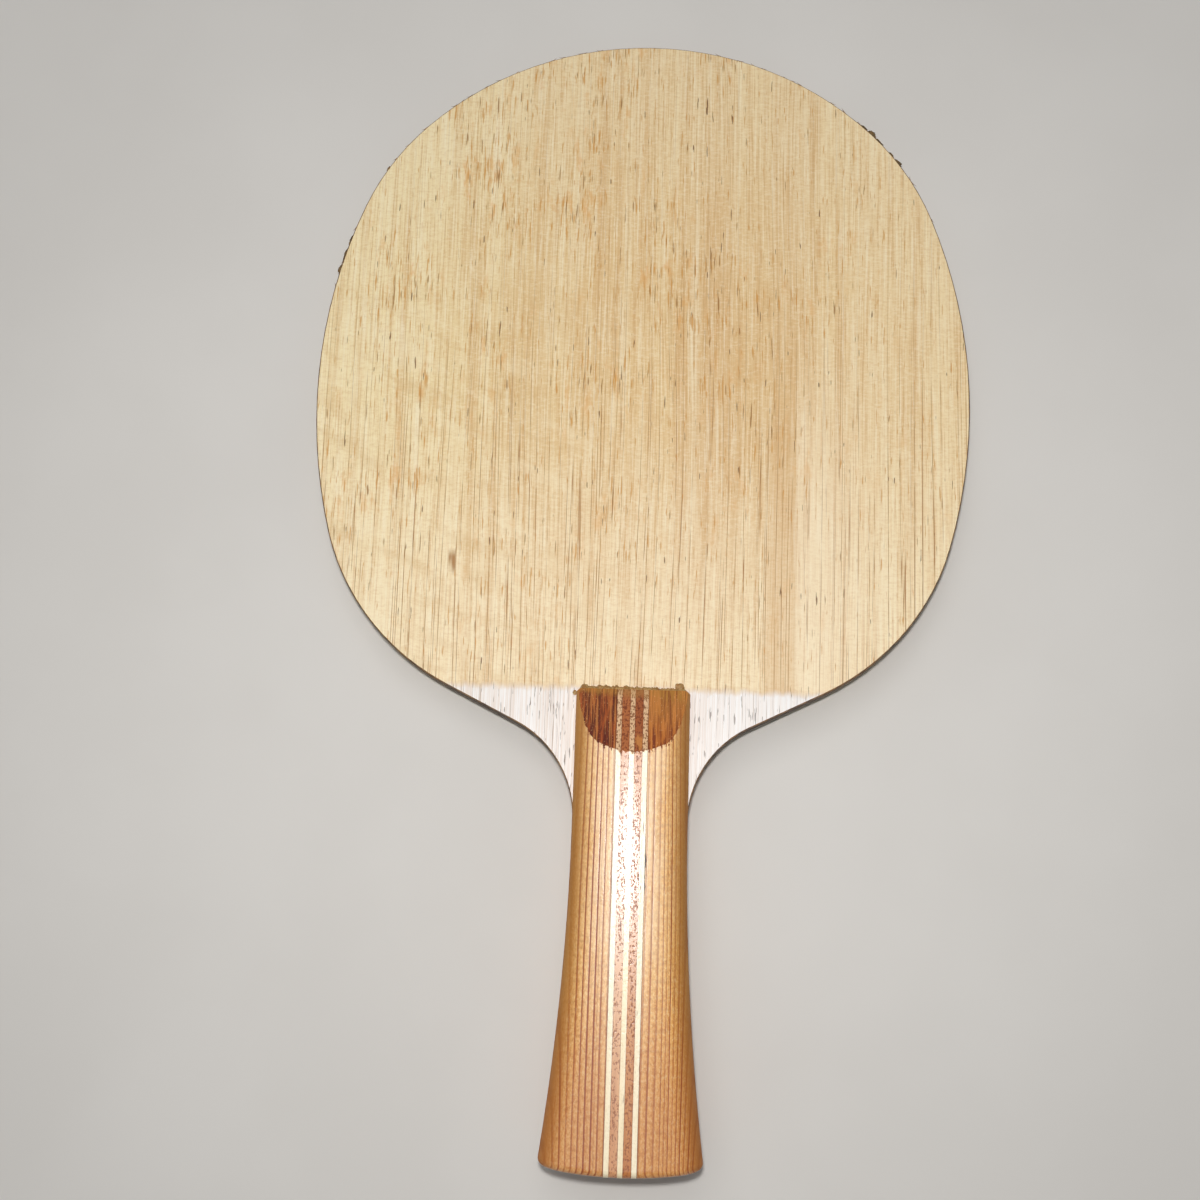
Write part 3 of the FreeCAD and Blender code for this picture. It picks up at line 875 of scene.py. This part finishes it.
    def end_wood(self, r: Recipe, wood: Layers) -> None:
        """Lays on the darker end grain at the butt.

        Args:
            r: the recipe.
            wood: the colour.
        """
        dots = r.cloud((3.5, 0.5, 3.5), 3.0, 0.7, (9, 9, 9))
        grained = Layers(r, Tone(176, 116, 62))
        grained.stain(Tone(116, 66, 34), dots, 0.35, 0.65)
        wood.stain(grained.colour, r.facing[1], -0.75, -0.97, 0.7)


@dataclass(frozen=True)
class StripFinish:
    """A thin lacquered strip between the blocks.

    Attributes:
        name: the material's name.
        shape: the scale it is on.
        light: its main shade.
        warm: its second shade.
        fleck: its flecks.
        flecks: how many of them it has, from 0 to 1.
        nose: its main shade on the bare nose.
        nose_fleck: its flecks there.
        joint: how dark the glue shows at its two edges, from 0 to 1.
        shift: moves the figure.
        chip: the middle of a freshly chipped patch on the nose, in millimetres, or None.
    """

    name: str
    shape: ScaleShape
    light: Tone
    warm: Tone
    fleck: Tone
    flecks: float
    nose: Tone
    nose_fleck: Tone
    joint: float
    shift: float
    chip: tuple[float, float] | None = None

    def paint(self) -> Material:
        """Builds the material.

        Returns:
            The material.
        """
        r = Recipe(self.name)
        r.place = r.scaled(r.here, (1, 1, 1), (self.shift, self.shift, 0))
        nose = r.most(self.shape.on_nose(r), self.shape.on_front_end(r))

        fibres = r.cloud((3.0, 0.08, 3.0), 4.0, 0.65)
        spots = r.cloud((2.6, 1.5, 2.6), 2.0, 0.6, (1, 1, 1))
        slits = r.ease(r.cloud((1.6, 0.16, 1.6), 2.0, 0.6, (2, 3, 2)), 0.68, 0.71)
        wood = Layers(r, self.light)
        wood.stain(self.warm, r.cloud((0.4, 0.02, 0.4)), 0.35, 0.65)
        wood.stain(self.fleck, fibres, 0.5, 0.74, 0.35)
        wood.stain(self.fleck, spots, 0.52, 0.60, self.flecks)
        wood.lay(Tone(112, 74, 52), r.times(slits, 0.85))
        raw = Layers(r, self.nose)
        raw.stain(self.nose_fleck, spots, 0.46, 0.62)
        if self.chip is not None:
            away = r.reach(r.times(r.plus(r.x, -self.chip[0]), 1.5), r.plus(r.y, -self.chip[1]))
            torn = r.cloud((1.6, 0.35, 1.6), 3.0, 0.7, (7, 3, 1))
            raw.stain(Tone(196, 128, 62), r.plus(away, r.times(torn, 4.0)), 4.0, 2.9, 0.75)
        raw.lay(Tone(168, 122, 62), r.times(self.shape.glue_soil(r), 0.45))
        wood.lay(raw.colour, nose)
        wood.lay(Tone(112, 60, 30), r.times(self.shape.joints(r), self.joint))

        height = r.minus(r.times(fibres, 0.6), r.ease(spots, 0.5, 0.7, 0, 0.5))
        pits = r.most(slits, r.ease(spots, 0.52, 0.62, 0, self.flecks))
        coat = r.times(r.ease(nose, 0, 1, 0.75, 0.0), r.ease(pits, 0, 1, 1.0, 0.3))
        return r.surface(wood.colour, r.plus(r.ease(nose, 0, 1, 0.42, 0.8), r.times(pits, 0.2)),
                         r.relief(height, 0.03), coat=coat, coat_roughness=0.22)


@dataclass(frozen=True)
class DriedGlueFinish:
    """Old amber glue, cloudy and a little glossy.

    Attributes:
        name: the material's name.
        light: its thin parts.
        dark: its thick parts.
    """

    name: str = "dried_glue"
    light: Tone = Tone(186, 150, 92)
    dark: Tone = Tone(142, 100, 48)

    def paint(self) -> Material:
        """Builds the material.

        Returns:
            The material.
        """
        r = Recipe(self.name)
        body = r.cloud((1.2, 1.2, 1.2), 3.0, 0.6)
        grit = r.cloud((6, 6, 6))
        glue = Layers(r, self.light)
        glue.stain(self.dark, body, 0.3, 0.7)
        glue.stain(Tone(96, 66, 34), grit, 0.55, 0.7, 0.6)
        return r.surface(glue.colour, r.ease(body, 0.3, 0.7, 0.35, 0.6), r.relief(grit, 0.1),
                         seep=0.15)


def looked_at(tree: bpy.types.NodeTree) -> Socket:
    """1 where the backdrop is seen, straight on or in a reflection, 0 where it only gives light.

    Args:
        tree: the material's or the world's nodes.

    Returns:
        The share.
    """
    rays = tree.nodes.new("ShaderNodeLightPath")
    seen = rays.outputs["Is Camera Ray"]
    for ray in ("Is Glossy Ray", "Is Transmission Ray"):
        either = tree.nodes.new("ShaderNodeMath")
        either.operation = "MAXIMUM"
        tree.links.new(seen, either.inputs[0])
        tree.links.new(rays.outputs[ray], either.inputs[1])
        seen = either.outputs[0]
    return seen


@dataclass(frozen=True)
class FloorFinish:
    """A plain pale floor that runs out into the backdrop.

    Attributes:
        name: the material's name.
        tone: the floor's colour.
        far_tone: the backdrop's colour.
        near: how far from the blade it starts to turn into the backdrop, in millimetres.
        far: where it has turned.
    """

    name: str = "plain_floor"
    tone: Tone = Tone(222, 218, 212)
    far_tone: Tone = Tone(208, 205, 200)
    near: float = 165.0
    far: float = 400.0

    def paint(self) -> Material:
        """Builds the material.

        Returns:
            The material.
        """
        r = Recipe(self.name)
        spot = r.add("ShaderNodeNewGeometry").outputs["Position"]
        r.place = r.scaled(spot, (1000, 1000, 1000))
        shade = Layers(r, self.tone)
        shade.stain(Tone(192, 186, 178), r.cloud((0.02, 0.02, 0.02), 3.0), 0.3, 0.7, 0.12)
        material = r.surface(shade.colour, 0.8)

        away = r.reach(*r.parts(r.place)[:2])
        gone = r.times(r.ease(away, self.near, self.far), looked_at(r.tree))
        glow = r.add("ShaderNodeEmission")
        r.feed(glow.inputs["Color"], self.far_tone)
        output = next(node for node in r.tree.nodes if node.type == "OUTPUT_MATERIAL")
        lit = output.inputs["Surface"].links[0].from_socket
        both = r.feed_all(r.add("ShaderNodeMixShader"), gone, lit, glow.outputs[0])
        r.feed(output.inputs["Surface"], both.outputs[0])
        return material


# ---------------------------------------------------------------- sub-assemblies

def place_in_scene(name: str, data: bpy.types.ID) -> bpy.types.Object:
    """Puts a new object into the scene.

    Args:
        name: the object's name.
        data: its mesh, lamp or camera.

    Returns:
        The object.
    """
    thing = bpy.data.objects.new(name, data)
    bpy.context.scene.collection.objects.link(thing)
    return thing


def turn_out(name: str, mesh: BMesh, material: Material) -> bpy.types.Object:
    """Turns a built mesh into an object in the scene, and frees the mesh.

    Args:
        name: the object's name.
        mesh: its mesh.
        material: its finish.

    Returns:
        The object.
    """
    data = bpy.data.meshes.new(name)
    mesh.normal_update()
    mesh.to_mesh(data)
    mesh.free()
    data.materials.append(material)
    return place_in_scene(name, data)


def add_piece(name: str, mesh: BMesh, material: Material) -> None:
    """Adds a piece that rides on the blade.

    Args:
        name: the piece's name.
        mesh: its mesh, which is freed.
        material: its finish.
    """
    piece = turn_out(name, mesh, material)
    for polygon in piece.data.polygons:
        polygon.use_smooth = True
    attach(piece, "root")
    log.info("%s has %d faces", name, len(piece.data.polygons))


def dress(node: str, material: Material) -> None:
    """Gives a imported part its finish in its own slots.

    Args:
        node: the part's name.
        material: its finish.
    """
    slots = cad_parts[node].data.materials
    if not slots:
        slots.append(material)
    for index in range(len(slots)):
        slots[index] = material
    log.info("%s is %s", node, material.name)


def skin(mesh: BMesh, rows: list[list[bmesh.types.BMVert]], closed: bool) -> None:
    """Lays faces between rows of points.

    Args:
        mesh: their mesh.
        rows: the rows.
        closed: each row is a ring.
    """
    for first, second in zip(rows, rows[1:]):
        for turn in range(len(first) if closed else len(first) - 1):
            after = (turn + 1) % len(first)
            mesh.faces.new((first[turn], first[after], second[after], second[turn]))


def swell(spot: Vector, seed: float, pitch: float, broad: float, fine: float) -> float:
    """How far an uneven lump's skin lies from its middle, where a ball of radius 1 has a spot."""
    return (1 + broad * noise.noise(spot * pitch + Vector((seed, 0, 0)))
            + fine * noise.noise(spot * FINE_PITCH + Vector((0, seed, 0))))


@dataclass
class PlyStack:
    """The five glued plies: two face veneers, two cross veneers and the core.

    Attributes:
        front_y: the handle's front end, in metres.
        back_shift: moves the figure of the back face.
    """

    front_y: float
    back_shift: float = 137.0

    def dress(self) -> None:
        """Gives each ply its wood."""
        # Partly painted shade: the inner plies' tones are darkened for the shade on their cut
        # edges.
        cross = InnerPlyFinish("cross_veneer_wood", Grain.CROSSWISE,
                               Tone(113, 82, 51), Tone(69, 47, 30)).paint()
        for side, shift in ((Side.FRONT, 0.0), (Side.BACK, self.back_shift)):
            finish = FaceVeneerFinish(side.word + "_face_veneer_wood", self.front_y / MM, shift)
            dress(side.word + "_face_veneer", finish.paint())
            dress(side.word + "_cross_veneer", cross)
        dress("core_veneer", InnerPlyFinish("core_veneer_wood", Grain.LENGTHWISE,
                                            Tone(162, 128, 84), Tone(108, 78, 49)).paint())


@dataclass
class HandleScale:
    """One flared handle scale: two blocks, with three pale and two brown strips between.

    Attributes:
        side: the face that it is glued to.
        shape: what its finishes need to know.
        back_shift: moves the figure of the back scale.
    """

    side: Side
    shape: ScaleShape
    back_shift: float = 61.0

    @property
    def shift(self) -> float:
        """How far the figure is moved."""
        return 0.0 if self.side is Side.FRONT else self.back_shift

    def dress(self) -> None:
        """Gives each lamination its wood."""
        for name, finish in (self.blocks() | self.strips()).items():
            dress("%s_scale_%s" % (self.side.word, name), finish.paint())

    def blocks(self) -> dict[str, BlockFinish]:
        """The finishes of the two blocks.

        Returns:
            Each block's finish by its place.
        """
        word = self.side.word
        # Each block's side tone is also painted shade on its steep sides.
        left = BlockFinish(
            name=word + "_left_block_wood", shape=self.shape, pith=(76.0, -26.0), spacing=0.97,
            fine_spacing=0.90, fine_from=4.0, light=Tone(250, 196, 120), warm=Tone(220, 146, 68),
            late=Tone(138, 56, 14), side=Tone(184, 122, 44), nose=Tone(88, 28, 7),
            nose_light=Tone(150, 68, 24), ochre=0.1, crack=0.12, shift=4.0 + self.shift)
        right = BlockFinish(
            name=word + "_right_block_wood", shape=self.shape, pith=(70.0, -30.0), spacing=1.04,
            fine_spacing=0.62, fine_from=3.6, light=Tone(250, 192, 106), warm=Tone(216, 138, 50),
            late=Tone(142, 64, 14), side=Tone(172, 112, 36), nose=Tone(116, 48, 14),
            nose_light=Tone(178, 102, 38), ochre=0.6, crack=0.42, shift=19.0 + self.shift)
        return {"left_block": left, "right_block": right}

    def strips(self) -> dict[str, StripFinish]:
        """The finishes of the five strips.

        Returns:
            Each strip's finish by its place.
        """
        word = self.side.word
        pale = StripFinish(
            name=word + "_pale_strip_wood", shape=self.shape, light=Tone(254, 240, 208),
            warm=Tone(250, 228, 184), fleck=Tone(216, 184, 132), flecks=0.2,
            nose=Tone(222, 182, 140), nose_fleck=Tone(140, 92, 58), joint=0.0, shift=self.shift)
        pink = StripFinish(
            name=word + "_left_brown_strip_wood", shape=self.shape, light=Tone(224, 170, 122),
            warm=Tone(208, 146, 98), fleck=Tone(140, 78, 48), flecks=0.75,
            nose=Tone(172, 100, 52), nose_fleck=Tone(122, 60, 32), joint=0.6,
            shift=7.0 + self.shift)
        orange = StripFinish(
            name=word + "_right_brown_strip_wood", shape=self.shape, light=Tone(204, 134, 66),
            warm=Tone(184, 108, 44), fleck=Tone(128, 62, 24), flecks=0.75,
            nose=Tone(156, 84, 40), nose_fleck=Tone(112, 50, 24), joint=0.6,
            shift=15.0 + self.shift, chip=(1.7, -40.1))
        return {"left_pale_strip": pale, "left_brown_strip": pink, "middle_pale_strip": pale,
                "right_brown_strip": orange, "right_pale_strip": pale}


@dataclass
class GlueResidue:
    """Dried glue that was squeezed out along the handle's front end.

    Attributes:
        half_width: half the handle's width, in metres.
        front_y: the handle's front end, in metres.
        face_z: the height of the glued face, in metres.
        thickness: how far the ridge of glue reaches from the handle, in metres.
        drops: each drop's side, how far it lies right and ahead of the handle's corner there,
            its radius, in millimetres, and a seed for its shape.
    """

    half_width: float
    front_y: float
    face_z: float
    thickness: float = 1.0 * MM
    drops: tuple[tuple[str, int, float, float, float, int], ...] = (
        ("right", 1, -2.3, 1.1, 1.15, 3),
        ("left", -1, -0.35, -0.5, 0.55, 9),
    )

    def build(self) -> None:
        """Builds the ridge of glue and its drops."""
        finish = DriedGlueFinish().paint()
        add_piece("glue_ridge", self.ridge(), finish)
        for word, sign, right, ahead, radius, seed in self.drops:
            middle = Vector((sign * self.half_width + right * MM, self.front_y + ahead * MM,
                             self.face_z))
            add_piece("glue_blob_" + word, self.drop(middle, radius * MM, seed), finish)

    def ridge(self) -> BMesh:
        """A ragged fillet of glue in the corner between the handle and the face.

        Returns:
            Its mesh.
        """
        steps, around = 160, 7                     # rows along the handle, points in a row
        length, height = 0.985, 0.8                # shares of the handle's width, of the reach
        waves = (0.9, 3.1, 0.35), (3.1, 8.4, 0.3)  # each one's pitch, seed and strength
        full, right_less, least = 1.3, 0.3, 0.12   # shares of the thickness
        end_slope = 25                             # how fast the two ends thin out
        rows = []
        mesh = bmesh.new()
        for step in range(steps + 1):
            share = step / steps
            x = self.half_width * (share * 2 - 1) * length
            ragged = sum(noise.noise(Vector((x / MM * pitch, seed, 0))) * strength
                         for pitch, seed, strength in waves)
            taper = min(1.0, share * end_slope, (1 - share) * end_slope)
            reach = self.thickness * max(least, full - right_less * share + ragged) * taper
            angles = (math.pi / 2 * turn / (around - 1) for turn in range(around))
            rows.append([mesh.verts.new((x, self.front_y + reach * math.cos(angle),
                                         self.face_z + reach * height * math.sin(angle)))
                         for angle in angles])
        skin(mesh, rows, closed=False)
        return mesh

    def drop(self, middle: Vector, radius: float, seed: int) -> BMesh:
        """A low uneven drop of glue.

        Args:
            middle: where it sits.
            radius: its radius.
            seed: another number gives another drop.

        Returns:
            Its mesh.
        """
        lowness = 0.42
        mesh = bmesh.new()
        bmesh.ops.create_icosphere(mesh, subdivisions=4, radius=1.0)
        for vert in mesh.verts:
            flat = Vector((vert.co.x, vert.co.y, vert.co.z * lowness))
            vert.co = middle + flat * radius * swell(vert.co, seed, 1.6, 0.28, 0.10)
        return mesh


def rim_points(veneer: bpy.types.Mesh) -> list[Vector]:
    """The outer edge of the face veneer, just under its rounding.

    Args:
        veneer: the veneer's mesh.

    Returns:
        The points around the head, in order, without the neck.
    """
    rounding, lowest, neck_y = 0.2 * MM, 0.3 * MM, -0.02
    top = max(vert.co.z for vert in veneer.vertices)
    found = {}
    for vert in veneer.vertices:
        if rounding < top - vert.co.z < lowest and vert.co.y > neck_y:
            away = vert.co - HEAD_MIDDLE
            found[round(math.atan2(away.y, away.x), 4)] = vert.co.copy()
    return [found[turn] for turn in sorted(found)]


@dataclass
class RimCrumbs:
    """Old glue and loose slivers of veneer that cling to the worn rim of the head.

    Attributes:
        rim: the points of the face's outer edge, in metres.
        lumps: the larger lumps, each with its place, half its length and half its width, in
            millimetres.
        slivers: how many slivers there are.
        seed: another number gives other slivers.
    """

    rim: list[Vector]
    lumps: tuple[tuple[float, float, float, float], ...] = (
        (53.0, 107.2, 1.05, 0.86),
        (51.3, 108.9, 1.10, 0.36),
        (54.7, 105.2, 1.50, 0.36),
        (59.0, 99.8, 1.10, 0.58),
        (57.4, 101.9, 0.90, 0.33),
        (-72.6, 70.2, 1.10, 0.50),
        (-71.7, 73.6, 1.90, 0.32),
        (-70.4, 77.4, 1.20, 0.34),
        (-61.3, 95.4, 0.60, 0.30),
    )
    slivers: int = 44
    seed: int = 7

    def build(self) -> None:
        """Builds the lumps as one piece and the slivers as another."""
        glue = DriedGlueFinish("dark_dried_glue", Tone(128, 98, 46), Tone(66, 48, 20)).paint()
        add_piece("rim_lumps", self.lump_mesh(), glue)
        wood = InnerPlyFinish("sliver_wood", Grain.LENGTHWISE, Tone(176, 130, 78),
                              Tone(104, 70, 40)).paint()
        add_piece("rim_slivers", self.sliver_mesh(), wood)

    def foot(self, x: float, y: float) -> tuple[Vector, Vector, Vector]:
        """The nearest point on the rim, and the directions there.

        Args:
            x: how far right, in metres.
            y: how far towards the tip, in metres.

        Returns:
            The point, the direction along the rim, and the direction out of the blade.
        """
        spot = Vector((x, y, 0))
        found = []
        for first, second in zip(self.rim, self.rim[1:] + self.rim[:1]):
            step = second - first
            share = min(1.0, max(0.0, (spot - first).xy.dot(step.xy) / step.xy.length_squared))
            point = first + step * share
            found.append(((spot - point).xy.length, point, step.normalized()))
        _, point, along = min(found, key=lambda near: near[0])
        out = Vector((along.y, -along.x, 0))
        if out.dot(point - HEAD_MIDDLE) < 0:
            out.negate()
        return point, along, out

    def lump_mesh(self) -> BMesh:
        """The uneven lumps of glue, half sunk into the rim.

        Returns:
            Their mesh.
        """
        half_height, sunk = 0.36 * MM, 0.16 * MM
        mesh = bmesh.new()
        for number, (x, y, length, width) in enumerate(self.lumps):
            point, along, out = self.foot(x * MM, y * MM)
            made = bmesh.ops.create_icosphere(mesh, subdivisions=3, radius=1.0)
            for vert in made["verts"]:
                old = vert.co.copy()
                uneven = swell(old, number * 3.0, 1.9, 0.5, 0.25)
                vert.co = (point + along * old.x * length * MM * uneven
                           + out * (old.y * width * MM * uneven)
                           + Vector((0, 0, old.z * half_height * uneven - sunk)))
        return mesh

    def sliver_mesh(self) -> BMesh:
        """Thin curved slivers that lean out from the rim, most of them on the left.

        Returns:
            Their mesh.
        """
        beyond = 0.2          # further than any point of the rim, in metres
        tip, left_end = 9, 168  # no slivers this near the tip, and none past this turn
        chance = random.Random(self.seed)
        mesh = bmesh.new()
        for _ in range(self.slivers):
            turn = math.radians(chance.choice((chance.uniform(95, 175), chance.uniform(20, 82))))
            if abs(math.degrees(turn) - 90) < tip or math.degrees(turn) > left_end:
                continue
            ray = Vector((math.cos(turn), math.sin(turn), 0)) * beyond
            point, along, out = self.foot(HEAD_MIDDLE.x + ray.x, HEAD_MIDDLE.y + ray.y)
            if chance.random() < 0.5:
                along = -along
            length, lean = chance.uniform(0.6, 1.6), chance.uniform(0.2, 0.55)
            self.sliver(mesh, point, out, along * length * MM, out * lean * MM)
        return mesh

    def sliver(self, mesh: BMesh, foot: Vector, out: Vector, run: Vector,
               lean: Vector) -> None:
        """Adds one tapering sliver.

        Args:
            mesh: the mesh to add it to.
            foot: where it leaves the rim.
            out: the direction out of the blade.
            run: how far its tip lies along the rim.
            lean: how far its tip stands off the rim.
        """
        steps, around = 5, 5
        sunk, half_thick, thinned = 0.05 * MM, 0.11 * MM, 0.85
        rings = []
        for step in range(steps + 1):
            share = step / steps
            middle = foot + run * share + lean * share ** 2
            middle += Vector((0, 0, -sunk - sunk * share))
            thick = half_thick * (1 - thinned * share)
            angles = (2 * math.pi * corner / around for corner in range(around))
            rings.append([mesh.verts.new(middle + out * thick * math.cos(angle)
                                         + Vector((0, 0, thick * math.sin(angle))))
                          for angle in angles])
        skin(mesh, rings, closed=True)
        mesh.faces.new(reversed(rings[0]))
        mesh.faces.new(rings[-1])


# ---------------------------------------------------------------- studio

@dataclass(frozen=True)
class Lamp:
    """A soft square lamp that faces the blade.

    Attributes:
        name: its name.
        place: where it hangs, in metres.
        size: its side, in metres.
        power: its power in watts.
    """

    name: str
    place: Triple
    size: float
    power: float

    def hang(self) -> None:
        """Hangs the lamp and turns it to the blade."""
        data = bpy.data.lights.new(self.name, "AREA")
        data.shape = "SQUARE"
        data.size = self.size
        data.energy = self.power
        lamp = place_in_scene(self.name, data)
        lamp.location = self.place
        lamp.rotation_mode = "QUATERNION"
        lamp.rotation_quaternion = (LAMP_AIM - Vector(self.place)).to_track_quat("-Z", "Y")


@dataclass
class Studio:
    """The floor that the blade rests on, the lamps and the backdrop.

    Attributes:
        nose_foot: where the back of the handle rests, as y and z in metres.
        tip_foot: where the head's tip rests, as y and z in metres.
        lamps: the lamps.
        sky: the colour of the light from all round, with its alpha.
        sky_strength: how strong that light is.
    """

    nose_foot: tuple[float, float]
    tip_foot: tuple[float, float]
    lamps: tuple[Lamp, ...] = (
        Lamp("near", (-0.003, -0.053, 0.345), 0.014, 0.72),
        Lamp("overhead", (-0.15, 0.35, 1.3), 0.8, 4.4),
    )
    sky: tuple[float, float, float, float] = (0.93, 0.96, 1.0, 1.0)
    sky_strength: float = 0.15

    def build(self) -> None:
        """Builds the floor, the lamps and the backdrop."""
        self.floor()
        self.backdrop()
        for lamp in self.lamps:
            lamp.hang()

    def floor(self) -> None:
        """Lays the floor under the two places that touch it."""
        half_size, clearance = 4.0, 0.02 * MM
        run = self.tip_foot[0] - self.nose_foot[0]
        rise = self.tip_foot[1] - self.nose_foot[1]
        mesh = bmesh.new()
        bmesh.ops.create_grid(mesh, x_segments=8, y_segments=8, size=half_size)
        floor = turn_out("floor", mesh, FloorFinish().paint())
        floor.location = (0, self.tip_foot[0], self.tip_foot[1] - clearance)
        floor.rotation_euler = (math.atan2(rise, run), 0, 0)
        floor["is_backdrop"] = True
        log.info("floor leans by %.2f degrees", math.degrees(floor.rotation_euler[0]))

    def backdrop(self) -> None:
        """Lights the blade from all round, and shows a pale backdrop where nothing else is."""
        world = bpy.data.worlds.new("studio")
        bpy.context.scene.world = world
        world.use_nodes = True
        tree = world.node_tree
        tree.nodes.clear()
        seen = tree.nodes.new("ShaderNodeBackground")
        seen.inputs["Color"].default_value = FloorFinish().far_tone.linear()
        light = tree.nodes.new("ShaderNodeBackground")
        light.inputs["Color"].default_value = self.sky
        light.inputs["Strength"].default_value = self.sky_strength
        both = tree.nodes.new("ShaderNodeMixShader")
        output = tree.nodes.new("ShaderNodeOutputWorld")
        for socket, source in zip(both.inputs, (looked_at(tree), light.outputs[0],
                                                seen.outputs[0])):
            tree.links.new(source, socket)
        tree.links.new(both.outputs[0], output.inputs["Surface"])


@dataclass
class Viewpoint:
    """The camera, held above the handle and tipped towards the head.

    Attributes:
        place: where it is, in metres.
        right: the direction of the picture's right side.
        up: the direction of the picture's top.
        lens: the focal length, in millimetres.
        frame_width: the width of the frame behind it, in millimetres.
        nearest: how near it still sees, in metres.
    """

    place: Triple = (0.00069, -0.07471, 0.33135)
    right: Triple = (0.999272, 0.032516, -0.019963)
    up: Triple = (-0.027865, 0.979334, 0.200320)
    lens: float = 45.0
    frame_width: float = 36.0
    nearest: float = 0.01

    def build(self) -> None:
        """Makes the camera and looks through it."""
        right = Vector(self.right).normalized()
        back = right.cross(Vector(self.up)).normalized()
        turn = Matrix((right, back.cross(right), back)).transposed()
        data = bpy.data.cameras.new("camera")
        data.lens = self.lens
        data.sensor_width = self.frame_width
        data.clip_start = self.nearest
        camera = place_in_scene("camera", data)
        camera.matrix_world = Matrix.Translation(Vector(self.place)) @ turn.to_4x4()
        bpy.context.scene.camera = camera


def main() -> None:
    """Builds and dresses the blade, then the studio around it."""
    logging.basicConfig(level=logging.INFO, format="%(name)s: %(message)s")
    bpy.context.scene.view_settings.view_transform = "Standard"
    cad_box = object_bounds()

    block_low, block_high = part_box("front_scale_left_block")
    strips_half = -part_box("front_scale_left_pale_strip")[0].x
    brown_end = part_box("front_scale_right_brown_strip")[1].x
    middle_low, middle_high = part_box("back_scale_middle_pale_strip")
    front_y, face_z, back_z = block_high.y, block_low.z, middle_low.z
    shape = ScaleShape(front_y=front_y / MM, strips_half=strips_half / MM,
                       middle_half=middle_high.x / MM, brown_end=brown_end / MM,
                       nose_z=(face_z + NOSE_HEIGHT) / MM)
    nose_length = (-back_z - face_z - NOSE_HEIGHT) / math.tan(NOSE_SLANT)

    Viewpoint().build()
    PlyStack(front_y=front_y).dress()
    for side in Side:
        HandleScale(side, shape).dress()
    GlueResidue(half_width=GRIP_HALF, front_y=front_y, face_z=face_z).build()
    RimCrumbs(rim=rim_points(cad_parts["front_face_veneer"].data)).build()
    Studio(nose_foot=(front_y - nose_length, back_z), tip_foot=(cad_box[1].y, -face_z)).build()


if __name__ == "__main__":
    main()
